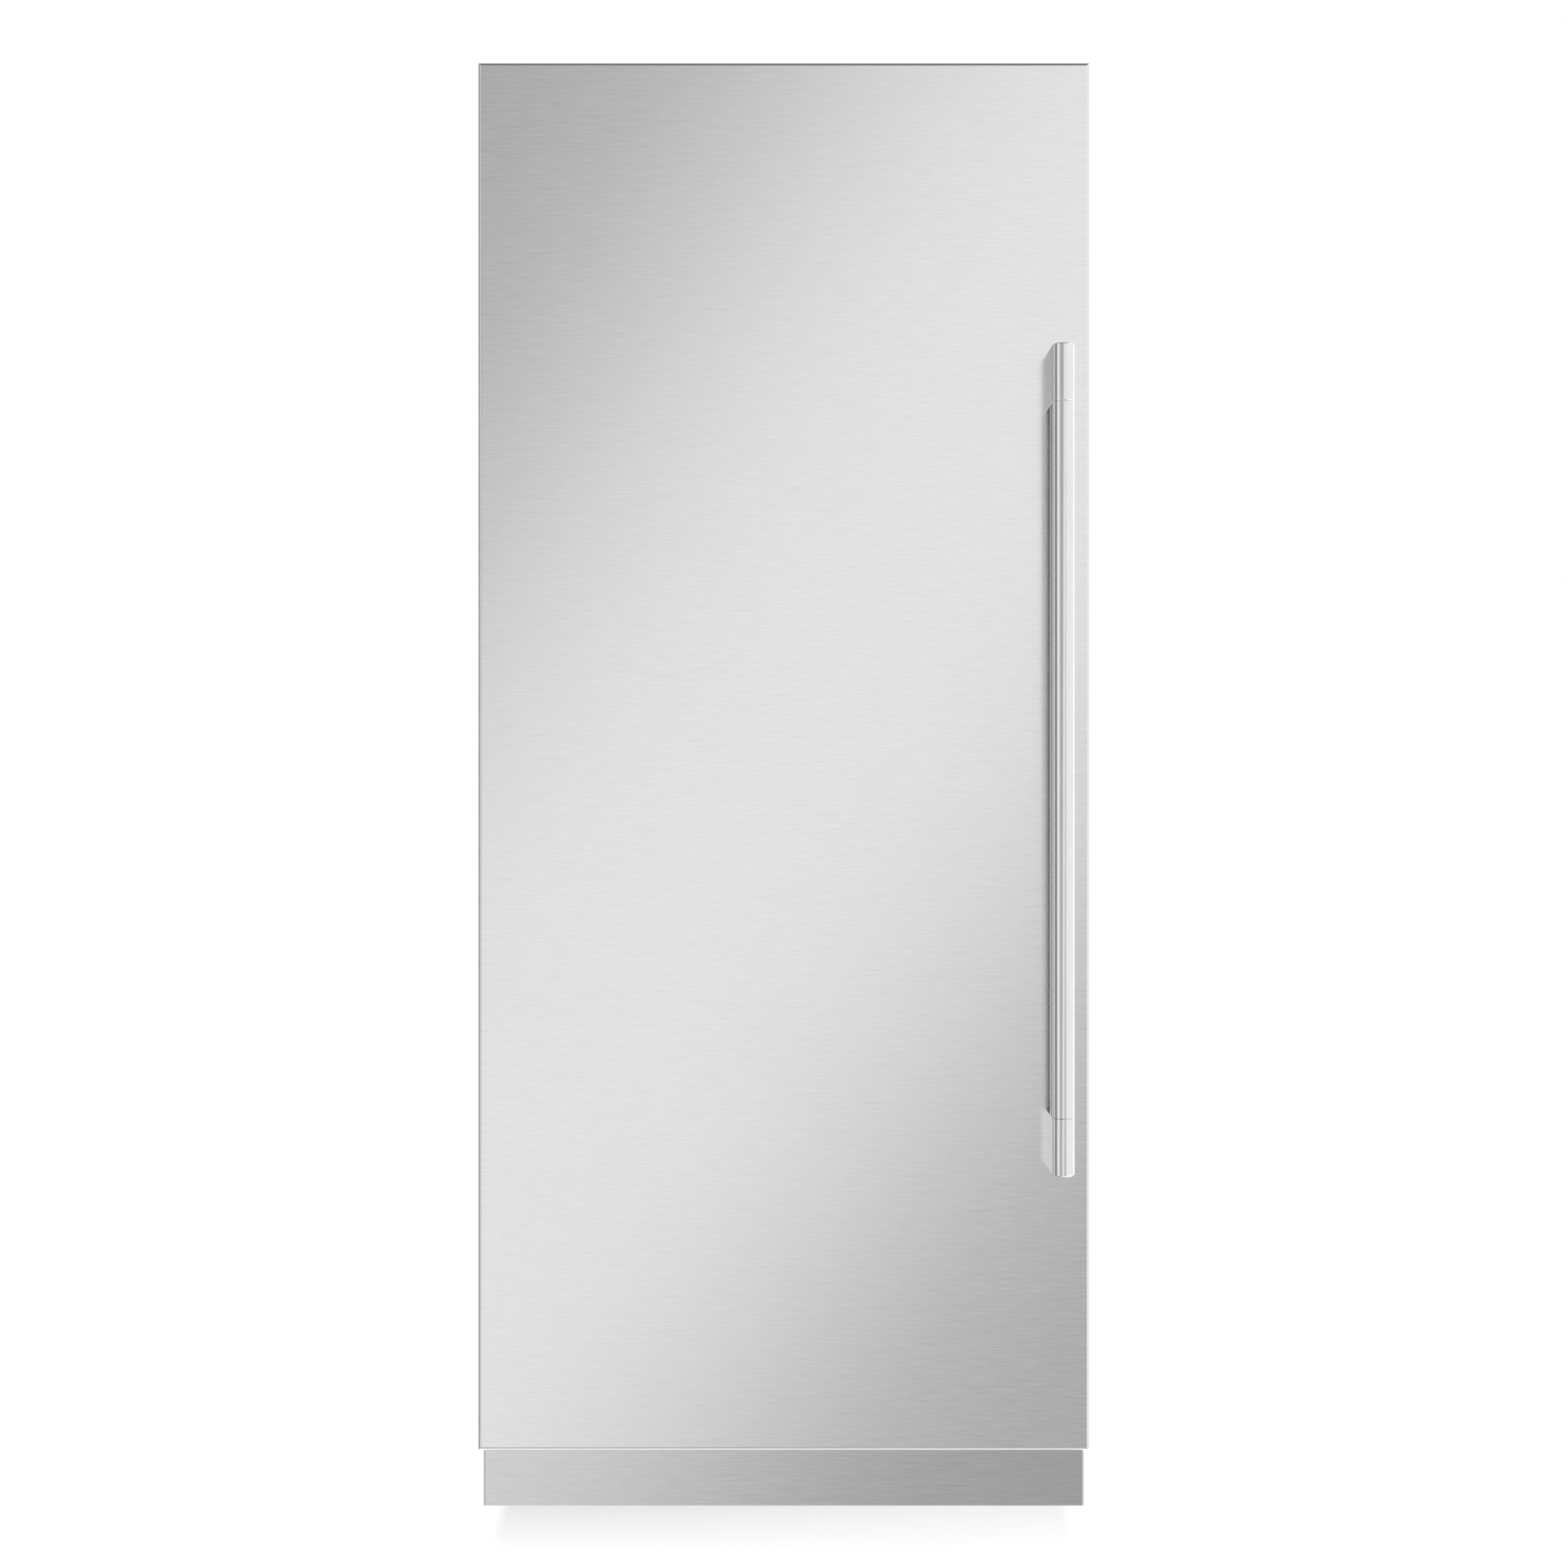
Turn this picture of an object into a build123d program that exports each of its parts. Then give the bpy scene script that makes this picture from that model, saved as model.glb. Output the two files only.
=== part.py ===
from build123d import *
import math
import os

# Integrated column freezer, in millimetres.
# +Z is up, the front faces -Y, the hinges are on the -X side and the handle is on the +X side.
# The origin is on the floor, in the middle of the appliance's width and depth.

# Whole appliance
door_height = 2046.0
door_floor_gap = 101.0
case_width = 896.0
door_side_reveal = 3.0
case_depth = 551.0
case_top_reveal = 4.0
panel_thickness = 20.0
inner_door_thickness = 50.0
gasket_gap = 8.0
handle_projection = 76.0

# Fits shared by all pieces
seat_gap = 0.3
running_clearance = 0.05
overrun = 5.0

# Insulated cabinet
base_height = 160.0
channel_height = 48.0
wall_thickness = 58.0
back_wall_thickness = 62.0
case_sheet = 1.0
liner_sheet = 2.0
liner_flange = 20.0
liner_corner = 12.0
niche_depth = 225.0
niche_top = 360.0
niche_cheek = 20.0

# Base frame, tray, feet and rollers
frame_bottom = 25.0
frame_sheet = 2.5
side_rail_flange = 38.0
front_rail_setback = 8.5
front_rail_depth = 34.0
tray_floor = 50.0
tray_overlap = 8.0
foot_inset = 48.0
foot_setback = 32.0
foot_stem_radius = 6.0
foot_stem_top = 70.0
foot_pad_radius = 20.0
foot_pad_height = 8.0
foot_nut_radius = 11.0
foot_nut_height = 8.0
foot_boss_radius = 12.0
foot_boss_height = 32.0
thread_clearance = 0.1
roller_radius = 22.0
roller_width = 20.0
roller_inset = 54.0
roller_rear_margin = 57.5
axle_radius = 5.0
axle_head = 2.0
roller_side_gap = 0.5
bracket_sheet = 3.0
bracket_half_length = 18.0
bracket_bottom = 12.0
bracket_end_half = 9.0

# Toe kick
kick_setback = 60.0
kick_reveal = 3.0
kick_sheet = 1.5
kick_bend = 3.0

# Hinges
pivot_edge_distance = 14.0
pivot_panel_distance = 14.5
pin_radius = 6.0
pin_head_radius = 9.0
pin_head_height = 3.0
pin_reach = 36.0
bush_wall = 2.5
bush_depth = 38.0
door_end_gap = 5.0
hinge_plate = 6.0
hinge_disc_radius = 12.0
hinge_arm_offset = 4.0
hinge_arm_width = 32.0
hinge_foot_width = 92.0
hinge_foot_start = 26.0
hinge_foot_depth = 92.0
hinge_corner = 6.0

# Door panel and inner door
panel_sheet = 1.5
panel_edge_radius = 5.0
inner_door_inset = 2.0
door_liner_sheet = 2.0
dyke_gap = 12.0
dyke_depth = 28.0
dyke_width = 26.0
dyke_corner = 30.0
dyke_edge = 6.0
gasket_width = 20.0
gasket_inset = 3.0
gasket_foot = 2.5
gasket_lip = 4.0
gasket_corner = 18.0

# Handle
handle_edge_distance = 47.0
handle_low_end = 518.0
handle_length = 1201.0
handle_width = 32.0
post_length = 83.0
handle_groove_front = 9.0
handle_groove_width = 8.0
handle_groove_depth = 4.0
handle_finger_gap = 27.0
handle_spine_radius = 5.0
handle_end_radius = 1.2
parting_chamfer = 0.8

# Door bins
bin_depth = 106.0
bin_height = 110.0
bin_wall = 3.0
bin_corner = 14.0
bin_first_share = 0.4
bin_count = 3
bin_lug_length = 12.0
bin_lug_depth = 24.0
bin_lug_height = 60.0
bin_lug_drop = 12.0

# Drawers and their telescopic slides
drawer_side_gap = 45.0
drawer_front_setback = 70.5
drawer_rear_gap = 13.5
drawer_wall = 3.0
drawer_front_thickness = 12.0
drawer_corner = 18.0
drawer_front_extra = 16.0
drawer_scoop_radius = 16.0
drawer_floor_gap = 8.0
drawer_upper_height = 205.0
drawer_hump_gap = 5.0
drawer_gap = 32.0
slide_front_gap = 8.0
slide_rear_gap = 2.0
slide_height = 45.0
slide_depth = 12.7
slide_sheet = 1.5
slide_play = 0.5
slide_below_rim = 60.0
standoff_length = 30.0
standoff_setback = 22.0

# Shelves and their ladders
shelf_side_gap = 2.0
shelf_front_setback = 113.5
shelf_rear_gap = 10.5
shelf_drawer_gap = 49.0
shelf_count = 4
shelf_frame_width = 14.0
shelf_frame_height = 14.0
shelf_ledge = 5.0
glass_thickness = 4.0
glass_play = 0.5
ladder_thickness = 4.0
ladder_width = 18.0
ladder_end_margin = 32.0
ladder_slot_height = 10.0
ladder_slot_width = 8.0
ladder_slots_per_shelf = 3
ladder_front_setback = 40.0

# Control panel, lamps and inner top
fascia_side_margin = 110.0
fascia_height = 36.0
fascia_depth = 46.0
fascia_front_setback = 33.5
fascia_wall = 4.0
fascia_slope = 8.0
button_radius = 7.0
button_gap = 0.3
button_proud = 1.6
button_depth = 9.0
button_pitch = 34.0
button_count = 3
button_offset = 96.0
window_width = 96.0
window_height = 18.0
window_depth = 1.2
lamp_width = 12.0
lamp_thickness = 5.0
lamp_setback = 46.0
lamp_end_margin = 90.0

# Ice maker and ice bin
ice_shaft_x_gap = 70.0
ice_shaft_drop = 122.0
ice_cup_radius = 30.0
ice_cup_length = 30.0
ice_cup_wall = 4.0
ice_cup_count = 6
ice_mould_wall = 5.0
ice_front_setback = 123.5
ice_motor_length = 50.0
ice_motor_overhang = 16.0
ice_motor_height = 100.0
ice_motor_corner = 8.0
ice_arm_width = 20.0
ejector_radius = 4.0
ejector_reach = 25.0
ejector_finger = 3.0
bail_wire_radius = 2.0
bail_drop = 28.0
bail_spread = 28.0
bail_bend = 6.0
bail_pivot_drop = 25.0
bail_pivot_gap = 8.0
bail_seat = 8.0
ice_bin_width = 280.0
ice_bin_side_gap = 10.0
ice_bin_rear_gap = 5.0
ice_bin_head_gap = 16.7
ice_bin_height = 145.0
ice_bin_corner = 16.0
ice_bin_wall = 3.0
ice_bin_scoop = 26.0

# Evaporator, its cover and its fan
duct_depth = 75.0
cover_sheet = 3.0
cover_side_gap = 2.0
cover_edge_chamfer = 5.0
cover_bottom_gap = 2.0
vent_width_share = 0.66
vent_height = 8.0
vent_pitch = 24.0
vent_rows = 2
vent_columns = 2
vent_column_share = 0.84
vent_shelf_lift = 145.0
grille_bar_width = 5.0
grille_bar_count = 9
evaporator_side_margin = 110.0
evaporator_height = 330.0
evaporator_lift = 45.0
evaporator_front_gap = 7.0
evaporator_fin_pitch = 28.0
evaporator_fan_radius = 78.0
evaporator_fan_lift = 34.0
evaporator_fan_depth = 26.0
evaporator_motor_radius = 30.0

# Fins, return bends and end plates of both coils
fin_thickness = 1.2
coil_core_thickness = 9.0
coil_plate = 2.0
bend_tube_radius = 4.5
tube_sides = 6
bend_radius = 13.0
bend_count = 2
heater_radius = 4.0
heater_drop = 16.0

# Axial fans
fan_hub_radius = 24.0
fan_blade_count = 5
fan_blade_thickness = 3.0
fan_blade_camber = 6.0
fan_blade_share = 1.75
fan_blade_pitch = 32.0
fan_tip_gap = 5.0
fan_hub_cap = 3.0
motor_shaft_radius = 3.0
motor_shaft_engagement = 14.0
motor_fan_gap = 4.0
motor_arm_sheet = 3.0

# Condenser side of the compressor compartment
condenser_fan_radius = 84.0
condenser_fan_depth = 30.0
condenser_left_margin = 28.0
condenser_width_share = 0.257
condenser_depth = 170.0
condenser_height = 240.0
condenser_fin_pitch = 14.0
condenser_rear_gap = 22.0
shroud_gap = 12.0
shroud_sheet = 2.5
fan_shroud_gap = 5.0
shroud_foot = 24.0
condenser_motor_radius = 34.0
condenser_motor_length = 56.0
motor_arm_width = 12.0
motor_arm_count = 3

# Compressor and its rubber mounts
compressor_rear_gap = 112.0
compressor_radius = 82.0
compressor_shell_height = 134.0
compressor_shell_shares = ((1.0, 0.0), (1.0, 0.85), (0.8, 1.0))
compressor_seam_share = 0.61
compressor_seam = 5.0
compressor_seam_height = 8.0
compressor_plate = 3.0
compressor_plate_width = 216.0
compressor_plate_depth = 150.0
mount_radius = 14.0
mount_height = 22.0
mount_inset = 18.0
terminal_width = 52.0
terminal_depth = 30.0
terminal_height = 48.0

# Refrigerant lines
tube_radius = 3.2
tube_bend = 18.0
liquid_bend = 8.0
tube_rise = 26.0
drier_radius = 10.0
drier_length = 90.0
line_margin = 24.0
line_plate_gap = 3.0

# Drain pan, rear cover and services
pan_width_share = 0.1636
pan_depth = 196.0
pan_height = 42.0
pan_wall = 2.5
pan_right_margin = 12.0
pan_rear_gap = 12.0
rear_cover_bottom = 30.0
louvre_width_share = 0.6
louvre_height = 5.0
louvre_hood = 6.0
louvre_pitch = 32.0
louvre_rows = 6
louvre_columns = 2
louvre_column_share = 0.38
louvre_first_height = 100.0
inlet_width = 28.0
inlet_height = 20.0
inlet_depth = 18.0
inlet_flange = 8.0
inlet_flange_sheet = 2.5
inlet_chamfer = 3.0
inlet_side_margin = 32.0
inlet_z = 125.0
inlet_wall = 2.5
inlet_pin_width = 2.0
inlet_pin_height = 4.0
inlet_pin_pitch = 7.0
valve_side_margin = 148.0
valve_y = -60.0
valve_body_radius = 16.0
valve_body_height = 44.0
valve_coil_width = 40.0
valve_coil_height = 30.0
valve_plate = 3.0
valve_plate_width = 60.0
water_stub_radius = 5.55
water_stub_length = 14.0
water_stub_hex = 8.5
water_stub_hex_length = 7.0
water_bore_radius = 2.4

# Service channel on top of the cabinet
channel_sheet = 1.5
channel_rear_setback = 42.0
channel_bend = 4.0
arm_slot_margin = 4.0
arm_slot_height = 16.0
control_box_width = 260.0
control_box_depth = 170.0
control_box_height = 36.0
control_box_side_margin = 98.0
control_box_setback = 60.0
control_lid_rib = 2.0
control_lid_ribs = 5
anchor_side_margin = 148.0
anchor_width = 90.0
anchor_sheet = 3.0
anchor_base = 34.0
anchor_height = 46.0
anchor_hole_radius = 3.25
anchor_hole_spacing = 60.0
anchor_hole_height = 27.0
anchor_corner = 6.0

# Planes and places worked out from the sizes above
overall_depth = handle_projection + panel_thickness + inner_door_thickness + gasket_gap + case_depth
panel_front = handle_projection - overall_depth / 2
panel_back = panel_front + panel_thickness
inner_door_back = panel_back + inner_door_thickness
dyke_back = inner_door_back + dyke_depth
case_front = inner_door_back + gasket_gap
case_back = case_front + case_depth
door_bottom = door_floor_gap
door_top = door_bottom + door_height
case_side = case_width / 2
door_side = case_side + door_side_reveal
case_top = door_top - case_top_reveal
foam_top = case_top - channel_height
cavity_side = case_side - wall_thickness
cavity_bottom = base_height + wall_thickness
cavity_top = foam_top - wall_thickness
cavity_back = case_back - back_wall_thickness
niche_side = case_side - niche_cheek
niche_front = case_back - niche_depth
hump_top = niche_top + wall_thickness
hump_front = niche_front - back_wall_thickness
duct_front = cavity_back - duct_depth
tray_top = tray_floor + frame_sheet
pivot_x = pivot_edge_distance - door_side
pivot_y = panel_back + pivot_panel_distance
bottom_arm_top = base_height - frame_sheet
inner_door_side = door_side - inner_door_inset
inner_door_bottom = base_height + door_end_gap
inner_door_top = foam_top - door_end_gap
dyke_side = cavity_side - dyke_gap
dyke_bottom = cavity_bottom + dyke_gap
dyke_top = cavity_top - dyke_gap
full_turn = 360


def front_plane(y):
    # A plane facing the front, so that a positive extrusion runs towards -Y
    return Plane.XZ.offset(-y)


def side_plane(x):
    # A plane facing +X, with Y and Z as its own axes
    return Plane.YZ.offset(x)


def floor_plane(z):
    # A level plane facing up
    return Plane.XY.offset(z)


def area(low_a, high_a, low_b, high_b, mode=Mode.ADD):
    # A rectangle of the current sketch, given by its edges
    with Locations(((low_a + high_a) / 2, (low_b + high_b) / 2)):
        Rectangle(high_a - low_a, high_b - low_b, mode=mode)


def rounded_area(low_a, high_a, low_b, high_b, radius, mode=Mode.ADD):
    # The same with round corners
    with Locations(((low_a + high_a) / 2, (low_b + high_b) / 2)):
        RectangleRounded(high_a - low_a, high_b - low_b, radius, mode=mode)


def block(low, high, mode=Mode.ADD):
    # A box of the current part, from one corner to the opposite one
    middle = tuple((a + b) / 2 for a, b in zip(low, high))
    size = tuple(b - a for a, b in zip(low, high))
    with Locations(middle):
        Box(*size, mode=mode)


def save(piece, name):
    piece.label = name
    export_step(piece, f"parts/{name}.step")


os.makedirs("parts", exist_ok=True)


# Insulated cabinet: a steel case, foam and a moulded liner round the frozen space
def cabinet_block(inset):
    # The case's outer form with the compressor niche at its lower back, drawn in by a wall
    with BuildPart() as form:
        block(
            (inset - case_side, case_front + inset, base_height + inset),
            (case_side - inset, case_back - case_sheet, foam_top - inset),
        )
        block(
            (-niche_side - inset, niche_front - inset, base_height - overrun),
            (niche_side + inset, case_back + overrun, niche_top + inset),
            mode=Mode.SUBTRACT,
        )
    return form.part


def cavity_form(growth):
    # The frozen space, with the step over the niche at its lower back, grown by a wall
    with BuildPart() as form:
        with BuildSketch(side_plane(-cavity_side - growth)):
            with BuildLine():
                Polyline(
                    (case_front - overrun, cavity_bottom - growth),
                    (hump_front - growth, cavity_bottom - growth),
                    (hump_front - growth, hump_top - growth),
                    (cavity_back + growth, hump_top - growth),
                    (cavity_back + growth, cavity_top + growth),
                    (case_front - overrun, cavity_top + growth),
                    close=True,
                )
            make_face()
        extrude(amount=2 * (cavity_side + growth))
        fillet(form.edges().filter_by(Axis.Y), liner_corner + growth)
    return form.part


def flange_area():
    # The outline of the liner's front flange
    rounded_area(
        -cavity_side - liner_flange, cavity_side + liner_flange,
        cavity_bottom - liner_flange, cavity_top + liner_flange, liner_corner + liner_flange,
    )


with BuildPart() as foam_insulation:
    add(cabinet_block(case_sheet))
    add(cavity_form(liner_sheet), mode=Mode.SUBTRACT)
    with BuildSketch(front_plane(case_front + liner_sheet)):
        flange_area()
    extrude(amount=liner_sheet + overrun, mode=Mode.SUBTRACT)
save(foam_insulation.part, "foam_insulation")

with BuildPart() as inner_liner:
    add(cavity_form(liner_sheet))
    with BuildSketch(front_plane(case_front + liner_sheet)):
        flange_area()
    extrude(amount=liner_sheet)
    add(cavity_form(0), mode=Mode.SUBTRACT)
    block(
        (-case_side, case_front - overrun - overrun, base_height),
        (case_side, case_front, foam_top),
        mode=Mode.SUBTRACT,
    )
save(inner_liner.part, "inner_liner")

with BuildPart() as outer_case:
    add(cabinet_block(0))
    add(cabinet_block(case_sheet), mode=Mode.SUBTRACT)
    with BuildSketch(front_plane(case_front + case_sheet)):
        flange_area()
    extrude(amount=case_sheet + overrun, mode=Mode.SUBTRACT)
save(outer_case.part, "outer_case")

with BuildPart() as back_panel:
    with BuildSketch(front_plane(case_back)):
        area(-case_side, case_side, niche_top, foam_top)
    extrude(amount=case_sheet)
save(back_panel.part, "back_panel")


# Base frame: two side rails and a front rail with the bosses of the feet
front_rail_front = case_front + front_rail_setback
front_rail_top = bottom_arm_top - hinge_plate
foot_x = case_side - foot_inset
foot_y = case_front + foot_setback
roller_x = case_side - roller_inset
roller_y = case_back - roller_rear_margin
cheek_offset = roller_width / 2 + roller_side_gap

with BuildPart() as base_frame:
    for side in (-1, 1):
        web = side * case_side
        with BuildSketch(front_plane(case_back - case_sheet)):
            area(*sorted((web, web - side * frame_sheet)), frame_bottom, base_height)
            area(*sorted((web, web - side * side_rail_flange)), base_height - frame_sheet, base_height)
            area(*sorted((web, web - side * side_rail_flange)), frame_bottom, frame_bottom + frame_sheet)
        extrude(amount=case_back - case_sheet - front_rail_front)
    with BuildSketch(side_plane(frame_sheet - case_side)):
        area(front_rail_front, front_rail_front + frame_sheet, frame_bottom, front_rail_top)
        area(front_rail_front, front_rail_front + front_rail_depth, frame_bottom, frame_bottom + frame_sheet)
        area(
            front_rail_front, front_rail_front + front_rail_depth,
            front_rail_top - frame_sheet, front_rail_top,
        )
    extrude(amount=case_width - 2 * frame_sheet)
    with BuildSketch(floor_plane(frame_bottom + frame_sheet)):
        with Locations((-foot_x, foot_y), (foot_x, foot_y)):
            Circle(foot_boss_radius)
    extrude(amount=foot_boss_height)
    with BuildSketch(floor_plane(frame_bottom - overrun)):
        with Locations((-foot_x, foot_y), (foot_x, foot_y)):
            Circle(foot_stem_radius + thread_clearance)
    extrude(amount=foot_boss_height + frame_sheet + 2 * overrun, mode=Mode.SUBTRACT)
save(base_frame.part, "base_frame")

# Compressor tray: a plate with turned-down ends between the side rails, which carries the rear rollers
tray_nose = niche_front - tray_overlap
tray_tail = case_back - case_sheet
tray_flange_low = frame_bottom + frame_sheet

with BuildPart() as compressor_tray:
    with BuildSketch(side_plane(frame_sheet - case_side)):
        area(tray_nose, tray_tail, tray_floor, tray_top)
        area(tray_nose, tray_nose + frame_sheet, tray_flange_low, tray_top)
        area(tray_tail - frame_sheet, tray_tail, tray_flange_low, tray_top)
    extrude(amount=case_width - 2 * frame_sheet)
    for side in (-1, 1):
        for cheek in (-1, 1):
            inner_face = side * roller_x + cheek * cheek_offset
            with BuildSketch(side_plane(min(inner_face, inner_face + cheek * bracket_sheet))):
                with BuildLine():
                    Polyline(
                        (roller_y - bracket_half_length, tray_floor),
                        (roller_y - bracket_end_half, bracket_bottom),
                        (roller_y + bracket_end_half, bracket_bottom),
                        (roller_y + bracket_half_length, tray_floor),
                        close=True,
                    )
                make_face()
            extrude(amount=bracket_sheet)
        with BuildSketch(side_plane(side * roller_x - cheek_offset - bracket_sheet - axle_head)):
            with Locations((roller_y, roller_radius)):
                Circle(axle_radius)
        extrude(amount=2 * (cheek_offset + bracket_sheet + axle_head))
save(compressor_tray.part, "compressor_tray")


def levelling_foot(x):
    # A six-sided pad, turned with a spanner, on a threaded stem with a locking nut
    with BuildPart() as foot:
        with BuildSketch(floor_plane(0)):
            with Locations((x, foot_y)):
                RegularPolygon(foot_pad_radius, 6)
        extrude(amount=foot_pad_height)
        with BuildSketch(floor_plane(frame_bottom - seat_gap - foot_nut_height)):
            with Locations((x, foot_y)):
                RegularPolygon(foot_nut_radius, 6)
        extrude(amount=foot_nut_height)
        with BuildSketch(floor_plane(0)):
            with Locations((x, foot_y)):
                Circle(foot_stem_radius)
        extrude(amount=foot_stem_top)
    return foot.part


def rear_roller(x):
    # A roller that runs on a fixed axle
    with BuildPart() as roller:
        with BuildSketch(side_plane(x - roller_width / 2)):
            with Locations((roller_y, roller_radius)):
                Circle(roller_radius)
                Circle(axle_radius + running_clearance, mode=Mode.SUBTRACT)
        extrude(amount=roller_width)
    return roller.part


save(levelling_foot(-foot_x), "levelling_foot_left")
save(levelling_foot(foot_x), "levelling_foot_right")
save(rear_roller(-roller_x), "roller_left")
save(rear_roller(roller_x), "roller_right")

# Toe kick: a folded plate that stands in front of the base frame
kick_front = panel_front + kick_setback
kick_top = door_bottom - kick_reveal

with BuildPart() as toe_kick:
    block(
        (-door_side, kick_front, 0),
        (door_side, front_rail_front, kick_top),
    )
    kick_face = toe_kick.faces().sort_by(Axis.Y)[0]
    fillet(kick_face.edges().sort_by(Axis.Z)[1:], kick_bend)
    offset(
        amount=-kick_sheet,
        openings=[toe_kick.faces().sort_by(Axis.Z)[0], toe_kick.faces().sort_by(Axis.Y)[-1]],
    )
save(toe_kick.part, "toe_kick")


# Hinges: an arm at the top and one at the bottom, with a pin that turns in a bush of the door
def hinge_arm(low):
    # A round end on the pivot, a straight neck back to the cabinet and a wide foot
    neck_left = pivot_x - hinge_arm_offset
    neck_right = neck_left + hinge_arm_width
    foot_front = case_front + hinge_foot_start
    foot_back = foot_front + hinge_foot_depth
    foot_left = -case_side + frame_sheet
    with BuildPart() as arm:
        with BuildSketch(floor_plane(low)):
            with Locations((pivot_x, pivot_y)):
                Circle(hinge_disc_radius)
            with BuildLine():
                Polyline(
                    (neck_left, pivot_y),
                    (pivot_x + hinge_disc_radius, pivot_y),
                    (neck_right, pivot_y + hinge_arm_width),
                    (neck_right, foot_front),
                    (foot_left + hinge_foot_width, foot_front),
                    (foot_left + hinge_foot_width, foot_back),
                    (foot_left, foot_back),
                    (foot_left, foot_front),
                    (neck_left, foot_front),
                    close=True,
                )
            make_face()
            with Locations((pivot_x, pivot_y)):
                Circle(pin_radius + running_clearance, mode=Mode.SUBTRACT)
        extrude(amount=hinge_plate)
        outer_corners = arm.edges().filter_by(Axis.Z).group_by(Axis.Y)[-1]
        chamfer(outer_corners, hinge_corner)
    return arm.part


top_arm_low = foam_top
bottom_arm_low = bottom_arm_top - hinge_plate
bush_radius = pin_radius + running_clearance + bush_wall

save(hinge_arm(top_arm_low), "hinge_arm_top")
save(hinge_arm(bottom_arm_low), "hinge_arm_bottom")

with BuildPart() as hinge_pins:
    for head_face, direction, door_end in (
        (top_arm_low + hinge_plate, -1, inner_door_top),
        (bottom_arm_low, 1, inner_door_bottom),
    ):
        with BuildSketch(Plane((pivot_x, pivot_y, head_face), x_dir=(1, 0, 0), z_dir=(0, 0, direction))):
            Circle(pin_radius)
        extrude(amount=abs(door_end - head_face) + pin_reach)
        with BuildSketch(Plane((pivot_x, pivot_y, head_face), x_dir=(1, 0, 0), z_dir=(0, 0, -direction))):
            Circle(pin_head_radius)
        extrude(amount=pin_head_height)
save(hinge_pins.part, "hinge_pins")

with BuildPart() as hinge_bushes:
    for door_end, arm_face, direction in (
        (inner_door_top, top_arm_low, -1),
        (inner_door_bottom, bottom_arm_top, 1),
    ):
        bush_start = (pivot_x, pivot_y, arm_face + direction * seat_gap)
        with BuildSketch(Plane(bush_start, x_dir=(1, 0, 0), z_dir=(0, 0, direction))):
            Circle(bush_radius)
            Circle(pin_radius + running_clearance, mode=Mode.SUBTRACT)
        extrude(amount=abs(door_end - arm_face) - seat_gap + bush_depth)
save(hinge_bushes.part, "hinge_bushes")

# Door panel: a folded sheet pan with a board inside it
with BuildPart() as door_panel:
    with BuildSketch(front_plane(panel_back)):
        area(-door_side, door_side, door_bottom, door_top)
    extrude(amount=panel_thickness)
    fillet(door_panel.faces().sort_by(Axis.Y)[0].edges(), panel_edge_radius)
    offset(amount=-panel_sheet, openings=door_panel.faces().sort_by(Axis.Y)[-1])
save(door_panel.part, "door_panel")

with BuildPart() as panel_backer:
    backer_inset = panel_sheet + seat_gap
    with BuildSketch(front_plane(panel_back)):
        area(
            backer_inset - door_side, door_side - backer_inset,
            door_bottom + backer_inset, door_top - backer_inset,
        )
    extrude(amount=panel_thickness - panel_sheet)
    chamfer(panel_backer.faces().sort_by(Axis.Y)[0].edges(), panel_edge_radius - panel_sheet)
save(panel_backer.part, "panel_backer")


# Inner door: a foam core inside a moulded liner with a raised dyke that holds the bins
def inner_door_form(inset):
    with BuildPart() as form:
        with BuildSketch(front_plane(inner_door_back - inset)):
            area(
                inset - inner_door_side, inner_door_side - inset,
                inner_door_bottom + inset, inner_door_top - inset,
            )
        extrude(amount=inner_door_thickness - inset)
        with BuildSketch(front_plane(dyke_back - inset)):
            rounded_area(
                inset - dyke_side, dyke_side - inset,
                dyke_bottom + inset, dyke_top - inset, dyke_corner - inset,
            )
            rounded_area(
                dyke_width - dyke_side - inset, dyke_side - dyke_width + inset,
                dyke_bottom + dyke_width - inset, dyke_top - dyke_width + inset,
                dyke_corner - dyke_width + dyke_edge + inset, mode=Mode.SUBTRACT,
            )
        extrude(amount=dyke_depth)
        for end, direction in ((inner_door_top, -1), (inner_door_bottom, 1)):
            with BuildSketch(Plane((pivot_x, pivot_y, end), x_dir=(1, 0, 0), z_dir=(0, 0, direction))):
                Circle(bush_radius + running_clearance)
            extrude(amount=bush_depth + seat_gap, mode=Mode.SUBTRACT)
    return form.part


with BuildPart() as door_foam:
    add(inner_door_form(door_liner_sheet))
save(door_foam.part, "door_foam")

with BuildPart() as door_liner:
    add(inner_door_form(0))
    add(inner_door_form(door_liner_sheet), mode=Mode.SUBTRACT)
save(door_liner.part, "door_liner")

# Door gasket: a foot on the liner and a narrower magnetic bulb that meets the case
gasket_inner_side = cavity_side + gasket_inset
gasket_inner_bottom = cavity_bottom - gasket_inset
gasket_inner_top = cavity_top + gasket_inset

with BuildPart() as door_gasket:
    for start, thickness, shrink in (
        (inner_door_back + gasket_foot, gasket_foot, 0),
        (case_front - seat_gap, gasket_gap - seat_gap - gasket_foot, gasket_lip),
    ):
        reach = gasket_width - shrink
        with BuildSketch(front_plane(start)):
            rounded_area(
                -gasket_inner_side - reach, gasket_inner_side + reach,
                gasket_inner_bottom - reach, gasket_inner_top + reach, gasket_corner + reach,
            )
            rounded_area(
                -gasket_inner_side - shrink, gasket_inner_side + shrink,
                gasket_inner_bottom - shrink, gasket_inner_top + shrink, gasket_corner + shrink,
                mode=Mode.SUBTRACT,
            )
        extrude(amount=thickness)
save(door_gasket.part, "door_gasket")

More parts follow.
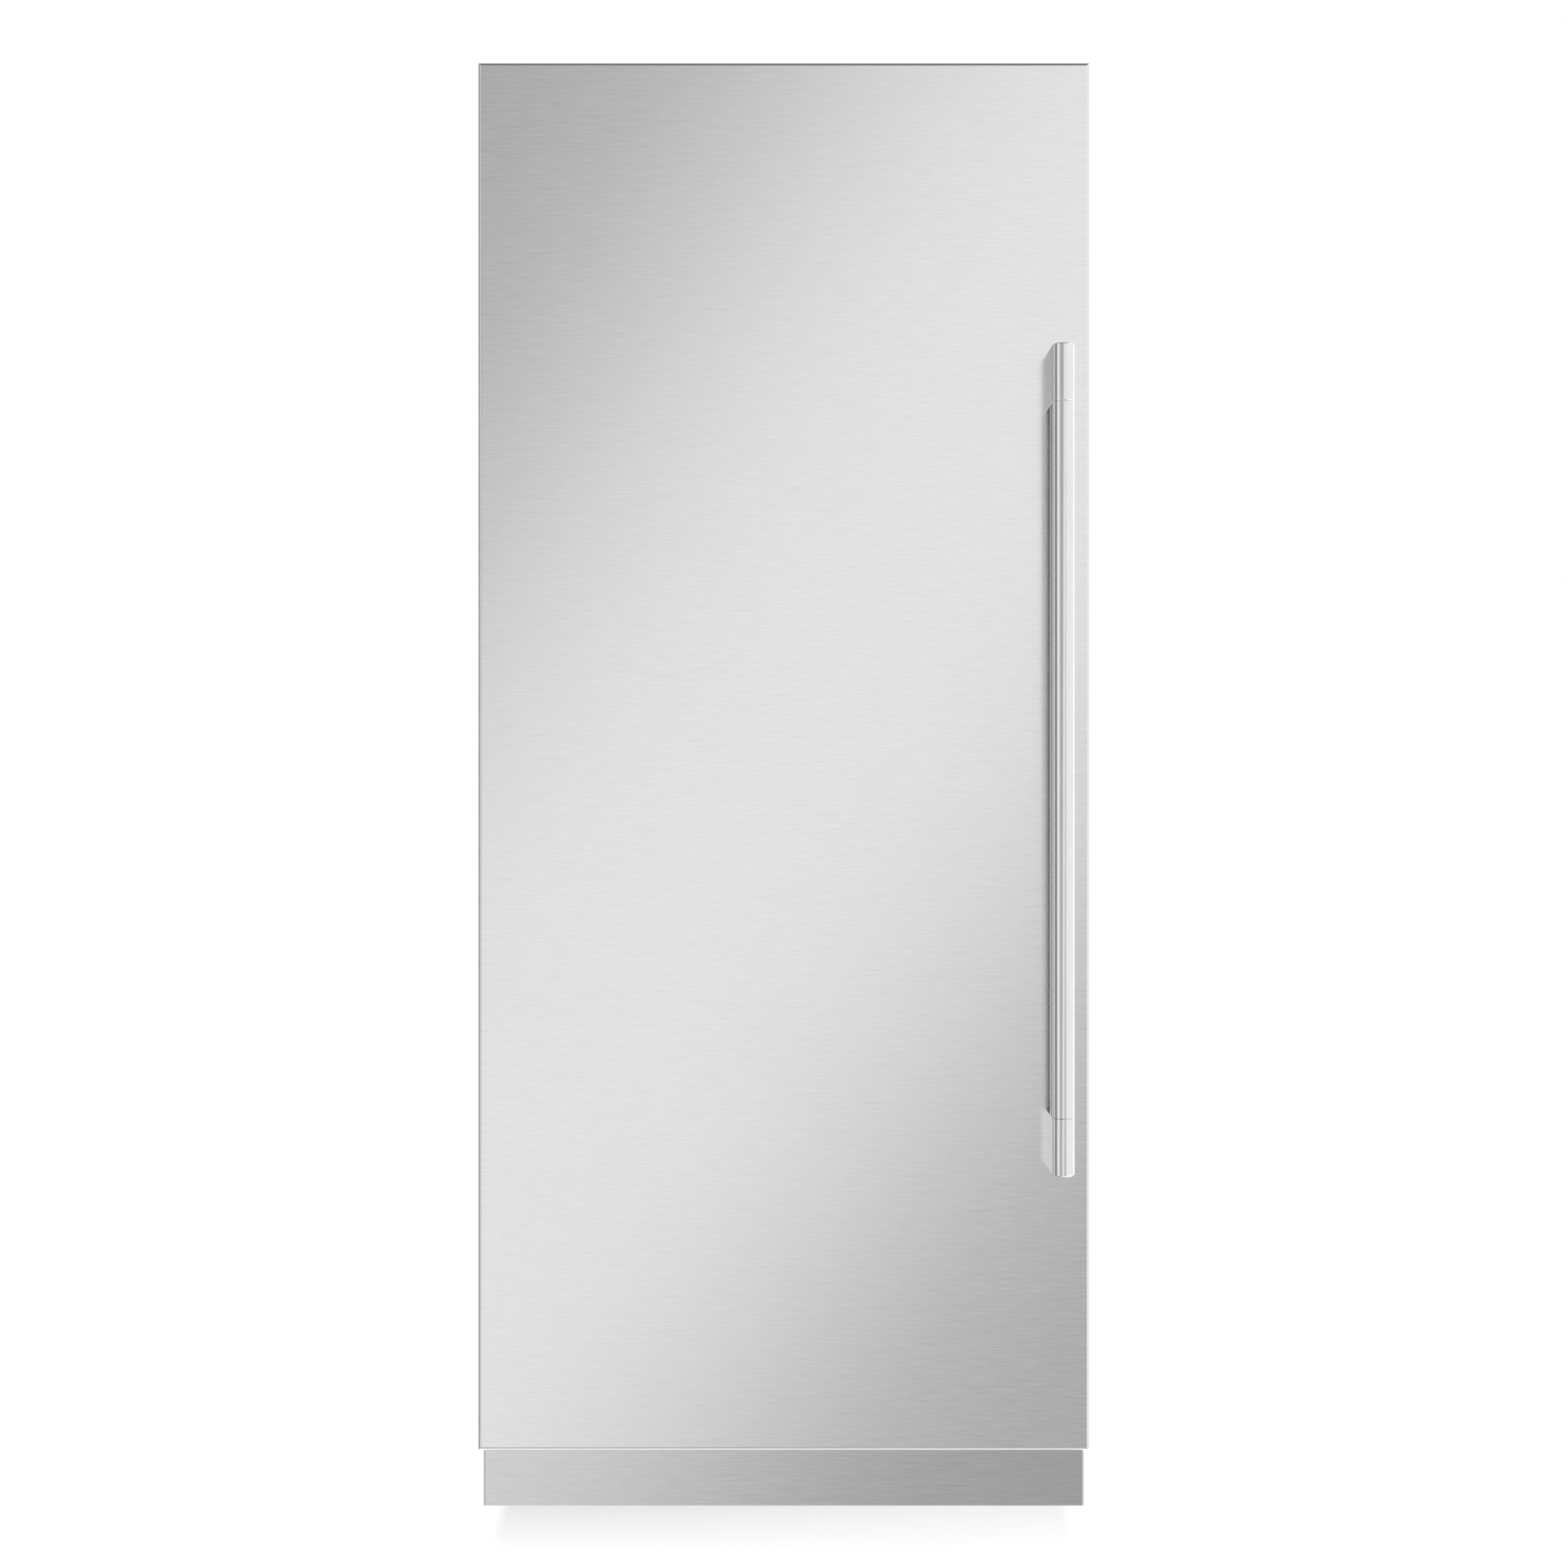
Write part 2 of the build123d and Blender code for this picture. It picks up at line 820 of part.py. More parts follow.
# Handle: an extruded bar with a rear spine, held between two end posts
handle_x = door_side - handle_edge_distance
handle_high_end = handle_low_end + handle_length
handle_radius = handle_width / 2
handle_centre_y = panel_front - handle_projection + handle_radius
spine_back_y = panel_front - handle_finger_gap
groove_front_y = handle_centre_y + handle_groove_front
groove_back_y = groove_front_y + handle_groove_width


def handle_section(back_y):
    # A half-round front with straight flanks, down to a level behind it
    with Locations((handle_x, handle_centre_y)):
        Circle(handle_radius)
    area(handle_x - handle_radius, handle_x + handle_radius, handle_centre_y, back_y)


with BuildPart() as handle_bar:
    with BuildSketch(floor_plane(handle_low_end + post_length)):
        handle_section(spine_back_y)
        groove_reach = handle_radius - handle_groove_depth
        area(
            handle_x - handle_radius - overrun, handle_x - groove_reach,
            groove_front_y, groove_back_y, mode=Mode.SUBTRACT,
        )
        area(
            handle_x + groove_reach, handle_x + handle_radius + overrun,
            groove_front_y, groove_back_y, mode=Mode.SUBTRACT,
        )
    extrude(amount=handle_length - 2 * post_length)
    fillet(
        handle_bar.edges().filter_by(Axis.Z).group_by(Axis.Y)[-1],
        handle_spine_radius,
    )
    chamfer(handle_bar.faces().filter_by(Axis.Z).edges(), parting_chamfer)

with BuildPart() as handle_posts:
    for low in (handle_low_end, handle_high_end - post_length):
        with BuildSketch(floor_plane(low)):
            handle_section(panel_front)
        extrude(amount=post_length)
    post_ends = handle_posts.faces().filter_by(Axis.Z).sort_by(Axis.Z)
    for face, bevel in zip(
        post_ends, (handle_end_radius, parting_chamfer, parting_chamfer, handle_end_radius)
    ):
        chamfer(face.edges().group_by(Axis.Y)[0] + face.edges().filter_by(Axis.Y), bevel)

with BuildPart() as door_handle:
    add(handle_bar.part)
    add(handle_posts.part)
save(door_handle.part, "door_handle")


# Door bins: open trays that hang by lugs between the dyke's walls
bin_back = inner_door_back + seat_gap
lug_end = dyke_side - dyke_width - seat_gap
bin_side = lug_end - bin_lug_length
bin_zone_low = dyke_bottom + dyke_width
bin_zone_high = dyke_top - dyke_width
bin_first_floor = bin_zone_low + bin_first_share * (bin_zone_high - bin_zone_low)
bin_pitch = (bin_zone_high - bin_first_floor) / bin_count


def door_bin(floor):
    with BuildPart() as tray:
        with BuildSketch(floor_plane(floor)):
            rounded_area(-bin_side, bin_side, bin_back, bin_back + bin_depth, bin_corner)
        extrude(amount=bin_height)
        offset(amount=-bin_wall, openings=tray.faces().sort_by(Axis.Z)[-1])
        lug_top = floor + bin_height - bin_lug_drop
        for low, high in ((-lug_end, bin_wall - bin_side), (bin_side - bin_wall, lug_end)):
            block(
                (low, bin_back + bin_corner, lug_top - bin_lug_height),
                (high, bin_back + bin_lug_depth, lug_top),
            )
    return tray.part


for index in range(bin_count):
    save(door_bin(bin_first_floor + index * bin_pitch), f"door_bin_{index + 1}")


# Drawers: a tray with a front that has a finger scoop, and a runner on each side
drawer_side = cavity_side - drawer_side_gap
drawer_front = case_front + drawer_front_setback
tray_front = drawer_front + drawer_front_thickness
slide_front = drawer_front + slide_front_gap
slide_outer = drawer_side + slide_depth
middle_web = slide_outer - slide_sheet - slide_play
inner_web = middle_web - slide_sheet - slide_play
middle_height = slide_height - 2 * (slide_sheet + slide_play)
inner_height = middle_height - 2 * (slide_sheet + slide_play)


def channel_section(direction, web_face, open_edge, middle, height):
    # A C section with its web at one distance from the centre plane and its lips reaching another
    low, high = sorted((direction * web_face, direction * open_edge))
    area(low, high, middle - height / 2, middle + height / 2)
    opens_high = (open_edge > web_face) == (direction > 0)
    inner_low = low + slide_sheet if opens_high else low - overrun
    inner_high = high + overrun if opens_high else high - slide_sheet
    area(
        inner_low, inner_high,
        middle - height / 2 + slide_sheet, middle + height / 2 - slide_sheet,
        mode=Mode.SUBTRACT,
    )


def drawer(floor, height, depth, runner_edge, runner_height):
    slide_length = depth - slide_front_gap - slide_rear_gap
    with BuildPart() as tray:
        with BuildSketch(floor_plane(floor)):
            rounded_area(
                -drawer_side, drawer_side,
                tray_front - drawer_wall / 2, drawer_front + depth, drawer_corner,
            )
        extrude(amount=height)
        offset(amount=-drawer_wall, openings=tray.faces().sort_by(Axis.Z)[-1])
        with BuildSketch(side_plane(-drawer_side)):
            front_top = floor + height + drawer_front_extra
            area(drawer_front, tray_front, floor, front_top)
            scoop_z = front_top - 2 * drawer_scoop_radius
            with Locations((drawer_front - drawer_scoop_radius / 2, scoop_z)):
                Circle(drawer_scoop_radius, mode=Mode.SUBTRACT)
        extrude(amount=2 * drawer_side)
        runner_z = floor + height - slide_below_rim
        for direction in (-1, 1):
            with BuildSketch(front_plane(slide_front + slide_length)):
                channel_section(direction, drawer_side, runner_edge, runner_z, runner_height)
                embedded, outside = sorted(
                    (direction * (drawer_side - drawer_wall / 2), direction * (drawer_side + slide_sheet / 2))
                )
                area(embedded, outside, runner_z - runner_height / 2, runner_z + runner_height / 2)
            extrude(amount=slide_length)
    return tray.part


def slide_pair(middle, web_face, open_edge, height, length):
    # The same channel on both sides of a drawer
    with BuildPart() as pair:
        for direction in (-1, 1):
            with BuildSketch(front_plane(slide_front + length)):
                channel_section(direction, web_face, open_edge, middle, height)
            extrude(amount=length)
    return pair.part


drawer_floors = [cavity_bottom + drawer_floor_gap]
drawer_lower_height = hump_top + drawer_hump_gap - drawer_gap - drawer_floors[0]
drawer_heights = (drawer_lower_height, drawer_upper_height, drawer_upper_height)
for height in drawer_heights[:-1]:
    drawer_floors.append(drawer_floors[-1] + height + drawer_gap)
drawer_short_depth = hump_front - drawer_rear_gap - drawer_front
drawer_long_depth = duct_front - drawer_rear_gap - drawer_front
drawer_depths = (drawer_short_depth, drawer_long_depth, drawer_long_depth)
slide_middles = [floor + height - slide_below_rim for floor, height in zip(drawer_floors, drawer_heights)]
slide_lengths = [depth - slide_front_gap - slide_rear_gap for depth in drawer_depths]
cabinet_lip = drawer_side + 2 * (slide_sheet + slide_play) - slide_play

save(
    drawer(drawer_floors[0], drawer_heights[0], drawer_depths[0], middle_web, middle_height),
    "drawer_1",
)
for index in (1, 2):
    save(
        drawer(drawer_floors[index], drawer_heights[index], drawer_depths[index], inner_web, inner_height),
        f"drawer_{index + 1}",
    )
    save(
        slide_pair(
            slide_middles[index], middle_web, drawer_side + slide_sheet + slide_play,
            middle_height, slide_lengths[index],
        ),
        f"slide_members_{index + 1}",
    )

with BuildPart() as slide_rails:
    for middle, length in zip(slide_middles, slide_lengths):
        add(slide_pair(middle, slide_outer, cabinet_lip, slide_height, length))
        for direction in (-1, 1):
            low, high = sorted((direction * slide_outer, direction * cavity_side))
            for start in (
                slide_front + standoff_setback,
                slide_front + length - standoff_setback - standoff_length,
            ):
                block(
                    (low, start, middle - slide_height / 2),
                    (high, start + standoff_length, middle + slide_height / 2),
                )
save(slide_rails.part, "slide_rails")

# Shelves: glass in a rebated frame, with side tabs in slotted ladders on the side walls
ladder_face = cavity_side - ladder_thickness
shelf_side = ladder_face - shelf_side_gap
shelf_front = case_front + shelf_front_setback
shelf_back = duct_front - shelf_rear_gap
ladder_ys = (shelf_front + ladder_front_setback, shelf_back - ladder_front_setback)
drawer_stack_top = drawer_floors[-1] + drawer_heights[-1] + drawer_front_extra
shelf_lowest = drawer_stack_top + shelf_drawer_gap
bail_lowest = cavity_top - ice_shaft_drop - bail_pivot_drop - bail_drop - bail_wire_radius
ice_bin_floor = bail_lowest - ice_bin_head_gap - ice_bin_height
shelf_highest = ice_bin_floor - seat_gap
shelf_pitch = (shelf_highest - shelf_lowest) / (shelf_count - 1)
shelf_heights = [shelf_lowest + index * shelf_pitch for index in range(shelf_count)]
tab_drop = shelf_frame_height / 2
slot_pitch = shelf_pitch / ladder_slots_per_shelf
slot_count = (shelf_count - 1) * ladder_slots_per_shelf + 1

with BuildPart() as shelf_ladders:
    for low in (-cavity_side, ladder_face):
        for y in ladder_ys:
            block(
                (low, y - ladder_width / 2, shelf_lowest - tab_drop - ladder_end_margin),
                (low + ladder_thickness, y + ladder_width / 2, shelf_highest - tab_drop + ladder_end_margin),
            )
        with BuildSketch(side_plane(low - overrun)):
            for y in ladder_ys:
                for slot in range(slot_count):
                    with Locations((y, shelf_lowest - tab_drop + slot * slot_pitch)):
                        Rectangle(ladder_slot_width, ladder_slot_height)
        extrude(amount=ladder_thickness + 2 * overrun, mode=Mode.SUBTRACT)
save(shelf_ladders.part, "shelf_ladders")

with BuildPart() as shelf_frames:
    rebate = shelf_frame_width - shelf_ledge
    half_tab_width = ladder_slot_width / 2 - seat_gap
    half_tab_height = ladder_slot_height / 2 - seat_gap
    for top in shelf_heights:
        with BuildSketch(floor_plane(top - shelf_frame_height)):
            area(-shelf_side, shelf_side, shelf_front, shelf_back)
            area(
                shelf_frame_width - shelf_side, shelf_side - shelf_frame_width,
                shelf_front + shelf_frame_width, shelf_back - shelf_frame_width,
                mode=Mode.SUBTRACT,
            )
        extrude(amount=shelf_frame_height)
        block(
            (rebate - shelf_side, shelf_front + rebate, top - glass_thickness),
            (shelf_side - rebate, shelf_back - rebate, top + overrun),
            mode=Mode.SUBTRACT,
        )
        for direction in (-1, 1):
            low, high = sorted((direction * (shelf_side - shelf_ledge), direction * (cavity_side - seat_gap)))
            for y in ladder_ys:
                block(
                    (low, y - half_tab_width, top - tab_drop - half_tab_height),
                    (high, y + half_tab_width, top - tab_drop + half_tab_height),
                )
save(shelf_frames.part, "shelf_frames")

with BuildPart() as shelf_glass:
    glass_inset = shelf_frame_width - shelf_ledge + glass_play
    for top in shelf_heights:
        block(
            (glass_inset - shelf_side, shelf_front + glass_inset, top - glass_thickness),
            (shelf_side - glass_inset, shelf_back - glass_inset, top),
        )
save(shelf_glass.part, "shelf_glass")

# Control panel under the ceiling, with three push buttons and a recess for the display
fascia_front = case_front + fascia_front_setback
fascia_side = cavity_side - fascia_side_margin
fascia_bottom = cavity_top - fascia_height
button_z = cavity_top - (fascia_height - fascia_slope) / 2
button_bore_depth = button_depth + fascia_wall
button_xs = [button_offset + index * button_pitch for index in range(button_count)]

with BuildPart() as control_panel:
    with BuildSketch(side_plane(-fascia_side)):
        with BuildLine():
            Polyline(
                (fascia_front, cavity_top),
                (fascia_front, fascia_bottom + fascia_slope),
                (fascia_front + fascia_slope, fascia_bottom),
                (fascia_front + fascia_depth, fascia_bottom),
                (fascia_front + fascia_depth, cavity_top),
                close=True,
            )
        make_face()
    extrude(amount=2 * fascia_side)
    with BuildSketch(front_plane(fascia_front + button_bore_depth)):
        with Locations([(x, button_z) for x in button_xs]):
            Circle(button_radius + button_gap)
    extrude(amount=button_bore_depth + overrun, mode=Mode.SUBTRACT)
    block(
        (-window_width / 2, fascia_front - overrun, button_z - window_height / 2),
        (window_width / 2, fascia_front + window_depth, button_z + window_height / 2),
        mode=Mode.SUBTRACT,
    )
save(control_panel.part, "control_panel")


def push_button(x):
    with BuildPart() as button:
        with BuildSketch(front_plane(fascia_front + button_depth - button_proud)):
            with Locations((x, button_z)):
                Circle(button_radius)
        extrude(amount=button_depth)
    return button.part


for x, name in zip(button_xs, ("button_colder", "button_warmer", "button_power")):
    save(push_button(x), name)

# Lamps: a strip with a bowed lens on each side wall
with BuildPart() as light_bars:
    lamp_y = case_front + lamp_setback
    with BuildSketch(floor_plane(cavity_bottom + lamp_end_margin)):
        for direction in (-1, 1):
            wall = direction * cavity_side
            with BuildLine():
                Line((wall, lamp_y - lamp_width / 2), (wall, lamp_y + lamp_width / 2))
                ThreePointArc(
                    (wall, lamp_y + lamp_width / 2),
                    (wall - direction * lamp_thickness, lamp_y),
                    (wall, lamp_y - lamp_width / 2),
                )
            make_face()
    extrude(amount=cavity_top - cavity_bottom - 2 * lamp_end_margin)
save(light_bars.part, "light_bars")

# Ice maker: a mould with round-bottomed cups, and a motor housing in front of it
ice_x = ice_shaft_x_gap - cavity_side
ice_z = cavity_top - ice_shaft_drop
ice_motor_front = case_front + ice_front_setback
mould_front = ice_motor_front + ice_motor_length
ice_cup_pitch = ice_cup_length + ice_cup_wall
mould_length = ice_cup_count * ice_cup_pitch + ice_cup_wall
mould_back = mould_front + mould_length
mould_half = ice_cup_radius + ice_mould_wall
ejector_bore_depth = ice_motor_length / 2
bail_x = ice_x + mould_half + bail_pivot_gap
bail_z = ice_z - bail_pivot_drop
bail_ear = bail_pivot_gap + 2 * bail_wire_radius

with BuildPart() as ice_maker:
    block(
        (ice_x - mould_half, mould_front, ice_z - mould_half),
        (ice_x + mould_half, mould_back, ice_z),
    )
    fillet(
        ice_maker.edges().filter_by(Axis.Y).group_by(Axis.Z)[0],
        ice_mould_wall,
    )
    for cup in range(ice_cup_count):
        cup_front = mould_front + ice_cup_wall + cup * ice_cup_pitch
        with BuildSketch(front_plane(cup_front + ice_cup_length)):
            with Locations((ice_x, ice_z)):
                Circle(ice_cup_radius)
        extrude(amount=ice_cup_length, mode=Mode.SUBTRACT)
    with BuildSketch(front_plane(mould_front)):
        rounded_area(
            ice_x - mould_half - ice_motor_overhang, ice_x + mould_half + ice_motor_overhang,
            ice_z - mould_half - ice_motor_overhang,
            ice_z - mould_half - ice_motor_overhang + ice_motor_height,
            ice_motor_corner,
        )
    extrude(amount=ice_motor_length)
    for start in (mould_front + ice_cup_pitch, mould_back - ice_cup_pitch - ice_arm_width):
        block(
            (-cavity_side, start, ice_z - ice_mould_wall - ice_cup_wall),
            (ice_x - mould_half, start + ice_arm_width, ice_z),
        )
    block(
        (ice_x + mould_half, mould_back - bail_seat, bail_z - bail_ear / 2),
        (bail_x + bail_ear / 2, mould_back, bail_z + bail_ear / 2),
    )
    channel_reach = ejector_radius + seat_gap
    block(
        (ice_x - channel_reach, mould_front, ice_z - channel_reach),
        (ice_x + channel_reach, mould_back + overrun, ice_z + overrun),
        mode=Mode.SUBTRACT,
    )
    with BuildSketch(front_plane(mould_front)):
        with Locations((ice_x, ice_z)):
            Circle(ejector_radius + running_clearance)
    extrude(amount=ejector_bore_depth, mode=Mode.SUBTRACT)
    with BuildSketch(front_plane(mould_front)):
        with Locations((bail_x, bail_z)):
            Circle(bail_wire_radius + running_clearance)
    extrude(amount=bail_seat, mode=Mode.SUBTRACT)
    with BuildSketch(front_plane(mould_back + overrun)):
        with Locations((bail_x, bail_z)):
            Circle(bail_wire_radius + running_clearance)
    extrude(amount=bail_seat + 2 * overrun, mode=Mode.SUBTRACT)
save(ice_maker.part, "ice_maker")

with BuildPart() as ice_ejector:
    with BuildSketch(front_plane(mould_back - seat_gap)):
        with Locations((ice_x, ice_z)):
            Circle(ejector_radius)
    extrude(amount=mould_length + ejector_bore_depth - 2 * seat_gap)
    for cup in range(ice_cup_count):
        finger_y = mould_front + ice_cup_wall + cup * ice_cup_pitch + ice_cup_length / 2
        with BuildSketch(front_plane(finger_y + ejector_finger / 2)):
            with BuildLine():
                Polyline(
                    (ice_x, ice_z - ejector_radius),
                    (ice_x, ice_z + ejector_radius),
                    (ice_x - ejector_reach, ice_z + ejector_finger / 2),
                    (ice_x - ejector_reach, ice_z - ejector_finger / 2),
                    close=True,
                )
            make_face()
        extrude(amount=ejector_finger)
save(ice_ejector.part, "ice_ejector")

with BuildPart() as shut_off_arm:
    bail_front = mould_front + bail_seat
    bail_back = mould_back - 2 * bail_seat - bail_bend
    with BuildLine() as bail_path:
        FilletPolyline(
            (bail_x, mould_front - bail_seat + seat_gap, bail_z),
            (bail_x, bail_front, bail_z),
            (bail_x + bail_spread, bail_front, bail_z - bail_drop),
            (bail_x + bail_spread, bail_back, bail_z - bail_drop),
            (bail_x, bail_back, bail_z),
            (bail_x, mould_back, bail_z),
            radius=bail_bend,
        )
    with BuildSketch(Plane(bail_path.line @ 0, z_dir=bail_path.line % 0)):
        RegularPolygon(bail_wire_radius, tube_sides)
    sweep(path=bail_path.line)
save(shut_off_arm.part, "shut_off_arm")

# Ice bin: an open tray on the top shelf, with a scooped front edge
with BuildPart() as ice_bin:
    ice_bin_left = ice_bin_side_gap - cavity_side
    with BuildSketch(floor_plane(ice_bin_floor)):
        rounded_area(
            ice_bin_left, ice_bin_left + ice_bin_width,
            shelf_front, shelf_back - ice_bin_rear_gap, ice_bin_corner,
        )
    extrude(amount=ice_bin_height)
    offset(amount=-ice_bin_wall, openings=ice_bin.faces().sort_by(Axis.Z)[-1])
    with BuildSketch(front_plane(shelf_front + ice_bin_wall)):
        with Locations((ice_bin_left + ice_bin_width / 2, ice_bin_floor + ice_bin_height)):
            Circle(ice_bin_scoop)
    extrude(amount=ice_bin_wall + overrun, mode=Mode.SUBTRACT)
save(ice_bin.part, "ice_bin")


# Axial fans: a hub with cambered blades, set at a pitch to the air stream
def spoke_plane(base, index, count):
    # The base plane turned about its own normal by a whole number of spokes
    turn = math.radians(full_turn * index / count)
    direction = base.x_dir * math.cos(turn) + base.y_dir * math.sin(turn)
    return Plane(base.origin, x_dir=direction, z_dir=base.z_dir)


def blade_plane(spoke, radius, depth):
    # Square to the spoke, with its X along the blade's chord
    turn = math.radians(fan_blade_pitch)
    origin = spoke.origin + spoke.x_dir * radius + spoke.z_dir * (depth / 2)
    chord_direction = spoke.y_dir * math.cos(turn) + spoke.z_dir * math.sin(turn)
    return Plane(origin, x_dir=chord_direction, z_dir=spoke.x_dir)


def axial_fan(back, tip_radius, depth):
    # The back plane lies on the motor side of the hub and faces along the air stream
    half_chord = fan_blade_share * fan_hub_radius / 2
    root = fan_hub_radius / 2
    with BuildPart() as fan:
        with BuildSketch(back):
            Circle(fan_hub_radius)
        extrude(amount=depth)
        for index in range(fan_blade_count):
            spoke = spoke_plane(back, index, fan_blade_count)
            with BuildSketch(blade_plane(spoke, root, depth)):
                with BuildLine():
                    ThreePointArc(
                        (-half_chord, 0), (0, fan_blade_camber + fan_blade_thickness / 2), (half_chord, 0)
                    )
                    ThreePointArc(
                        (half_chord, 0), (0, fan_blade_camber - fan_blade_thickness / 2), (-half_chord, 0)
                    )
                make_face()
            extrude(amount=math.sqrt(tip_radius**2 - half_chord**2) - root)
        with BuildSketch(back):
            Circle(motor_shaft_radius + running_clearance)
        extrude(amount=depth - fan_hub_cap, mode=Mode.SUBTRACT)
    return fan.part


def fan_motor(mount, radius, length, arm_reach):
    # The mount plane is the motor's face on the fan side, and its shaft runs into the hub
    with BuildPart() as motor:
        with BuildSketch(mount):
            Circle(radius)
        extrude(amount=-length)
        if arm_reach > radius:
            for index in range(motor_arm_count):
                spoke = spoke_plane(mount, index, motor_arm_count)
                with BuildSketch(spoke):
                    with Locations((arm_reach / 2, 0)):
                        Rectangle(arm_reach, motor_arm_width)
                extrude(amount=-motor_arm_sheet)
        with BuildSketch(mount):
            Circle(motor_shaft_radius)
        extrude(amount=motor_fan_gap + motor_shaft_engagement)
    return motor.part


# Coils: a bank of plain fins on a core, with end plates and return bends
def fin_coil(base, length, depth, height, fin_pitch, plate_drop):
    # The base plane has its X along the tubes and its Z upwards, at the middle of the coil's foot
    fin_count = int(length // fin_pitch)
    with BuildPart() as coil:
        with BuildSketch(base):
            Rectangle(length, coil_core_thickness)
            with GridLocations(length / fin_count, 0, fin_count, 1):
                Rectangle(fin_thickness, depth)
        extrude(amount=height)
        with BuildSketch(base.offset(-plate_drop)):
            with Locations((-length / 2, 0), (length / 2, 0)):
                Rectangle(coil_plate, depth)
        extrude(amount=height + plate_drop)
        for end in (-1, 1):
            face = end * (length + coil_plate) / 2
            for row in range(bend_count):
                low = height * (row + 1) / (bend_count + 1) - bend_radius
                tube_start = Plane(
                    base.from_local_coords((face, 0, low)), x_dir=base.y_dir, z_dir=base.x_dir * end
                )
                with BuildSketch(tube_start):
                    RegularPolygon(bend_tube_radius, tube_sides)
                centre = base.from_local_coords((face, 0, low + bend_radius))
                revolve(axis=Axis(centre, base.y_dir * -end), revolution_arc=full_turn / 2)
    return coil.part


# Evaporator, its heater, its fan and the vented cover of the air duct
evaporator_side = cavity_side - evaporator_side_margin
evaporator_low = hump_top + evaporator_lift
evaporator_front = duct_front + cover_sheet + evaporator_front_gap
evaporator_depth = cavity_back - seat_gap - evaporator_front
evaporator_base = Plane(
    (0, evaporator_front + evaporator_depth / 2, evaporator_low), x_dir=(1, 0, 0), z_dir=(0, 0, 1)
)

with BuildPart() as evaporator:
    add(
        fin_coil(
            evaporator_base, 2 * evaporator_side, evaporator_depth, evaporator_height,
            evaporator_fin_pitch, heater_drop + 2 * heater_radius,
        )
    )
    with BuildSketch(side_plane(-evaporator_side)):
        with Locations((evaporator_base.origin.Y, evaporator_low - heater_drop)):
            Circle(heater_radius)
    extrude(amount=2 * evaporator_side)
save(evaporator.part, "evaporator")

evaporator_fan_back = duct_front + cover_sheet + evaporator_front_gap + evaporator_fan_depth
evaporator_top = evaporator_low + evaporator_height
evaporator_fan_height = evaporator_top + evaporator_fan_lift + evaporator_fan_radius
evaporator_fan_plane = Plane(
    (0, evaporator_fan_back, evaporator_fan_height), x_dir=(1, 0, 0), z_dir=(0, -1, 0)
)
evaporator_motor_plane = evaporator_fan_plane.offset(-motor_fan_gap)
evaporator_motor_length = cavity_back - evaporator_motor_plane.origin.Y
save(axial_fan(evaporator_fan_plane, evaporator_fan_radius, evaporator_fan_depth), "evaporator_fan")
save(
    fan_motor(evaporator_motor_plane, evaporator_motor_radius, evaporator_motor_length, 0),
    "evaporator_fan_motor",
)

cover_side = cavity_side - cover_side_gap
cover_bottom = hump_top + cover_bottom_gap
grille_radius = evaporator_fan_radius + fan_tip_gap


def cover_form(inset, back):
    # The cover's outer form, drawn in by a wall, up to a level behind it
    with BuildPart() as form:
        block(
            (inset - cover_side, duct_front + inset, cover_bottom + inset),
            (cover_side - inset, back, cavity_top - cover_bottom_gap - inset),
        )
        fillet(form.edges().filter_by(Axis.Y), liner_corner - inset)
        chamfer(form.faces().sort_by(Axis.Y)[0].edges(), cover_edge_chamfer - inset)
    return form.part


with BuildPart() as evaporator_cover:
    add(cover_form(0, cavity_back))
    add(cover_form(cover_sheet, cavity_back + overrun), mode=Mode.SUBTRACT)
    vent_banks = [cover_bottom + vent_pitch] + [top + vent_shelf_lift for top in shelf_heights]
    vent_rows_z = [bank + row * vent_pitch for bank in vent_banks for row in range(vent_rows)]
    with BuildSketch(front_plane(duct_front + cover_sheet)):
        for column in range(vent_columns):
            vent_x = (column - (vent_columns - 1) / 2) * vent_column_share * cavity_side
            for z in vent_rows_z:
                with Locations((vent_x, z)):
                    Rectangle(vent_width_share * cavity_side, vent_height)
        with Locations((0, evaporator_fan_height)):
            Circle(grille_radius)
    extrude(amount=cover_sheet + overrun, mode=Mode.SUBTRACT)
    with BuildSketch(front_plane(duct_front + cover_sheet)):
        with Locations((0, evaporator_fan_height)):
            with GridLocations(0, 2 * grille_radius / (grille_bar_count + 1), 1, grille_bar_count):
                Rectangle(2 * grille_radius, grille_bar_width)
            Rectangle(grille_bar_width, 2 * grille_radius)
    extrude(amount=cover_sheet)
save(evaporator_cover.part, "evaporator_cover")

# Condenser, its shroud, fan and motor, which blow along X towards the compressor
condenser_width = condenser_width_share * 2 * niche_side
condenser_x = condenser_left_margin - niche_side + condenser_width / 2
condenser_y = case_back - condenser_rear_gap - condenser_depth / 2
condenser_low = tray_top + bend_radius
condenser_base = Plane((condenser_x, condenser_y, condenser_low), x_dir=(0, 1, 0), z_dir=(0, 0, 1))
save(
    fin_coil(
        condenser_base, condenser_depth, condenser_width, condenser_height,
        condenser_fin_pitch, condenser_low - tray_top,
    ),
    "condenser",
)

shroud_x = condenser_x + condenser_width / 2 + shroud_gap
condenser_fan_z = condenser_low + condenser_height / 2
shroud_radius = condenser_fan_radius + fan_tip_gap
shroud_top = condenser_low + condenser_height
condenser_fan_plane = Plane(
    (shroud_x + fan_shroud_gap + condenser_fan_depth, condenser_y, condenser_fan_z),
    x_dir=(0, 0, 1), z_dir=(-1, 0, 0),
)
condenser_motor_plane = condenser_fan_plane.offset(-motor_fan_gap)
shroud_end = condenser_motor_plane.origin.X

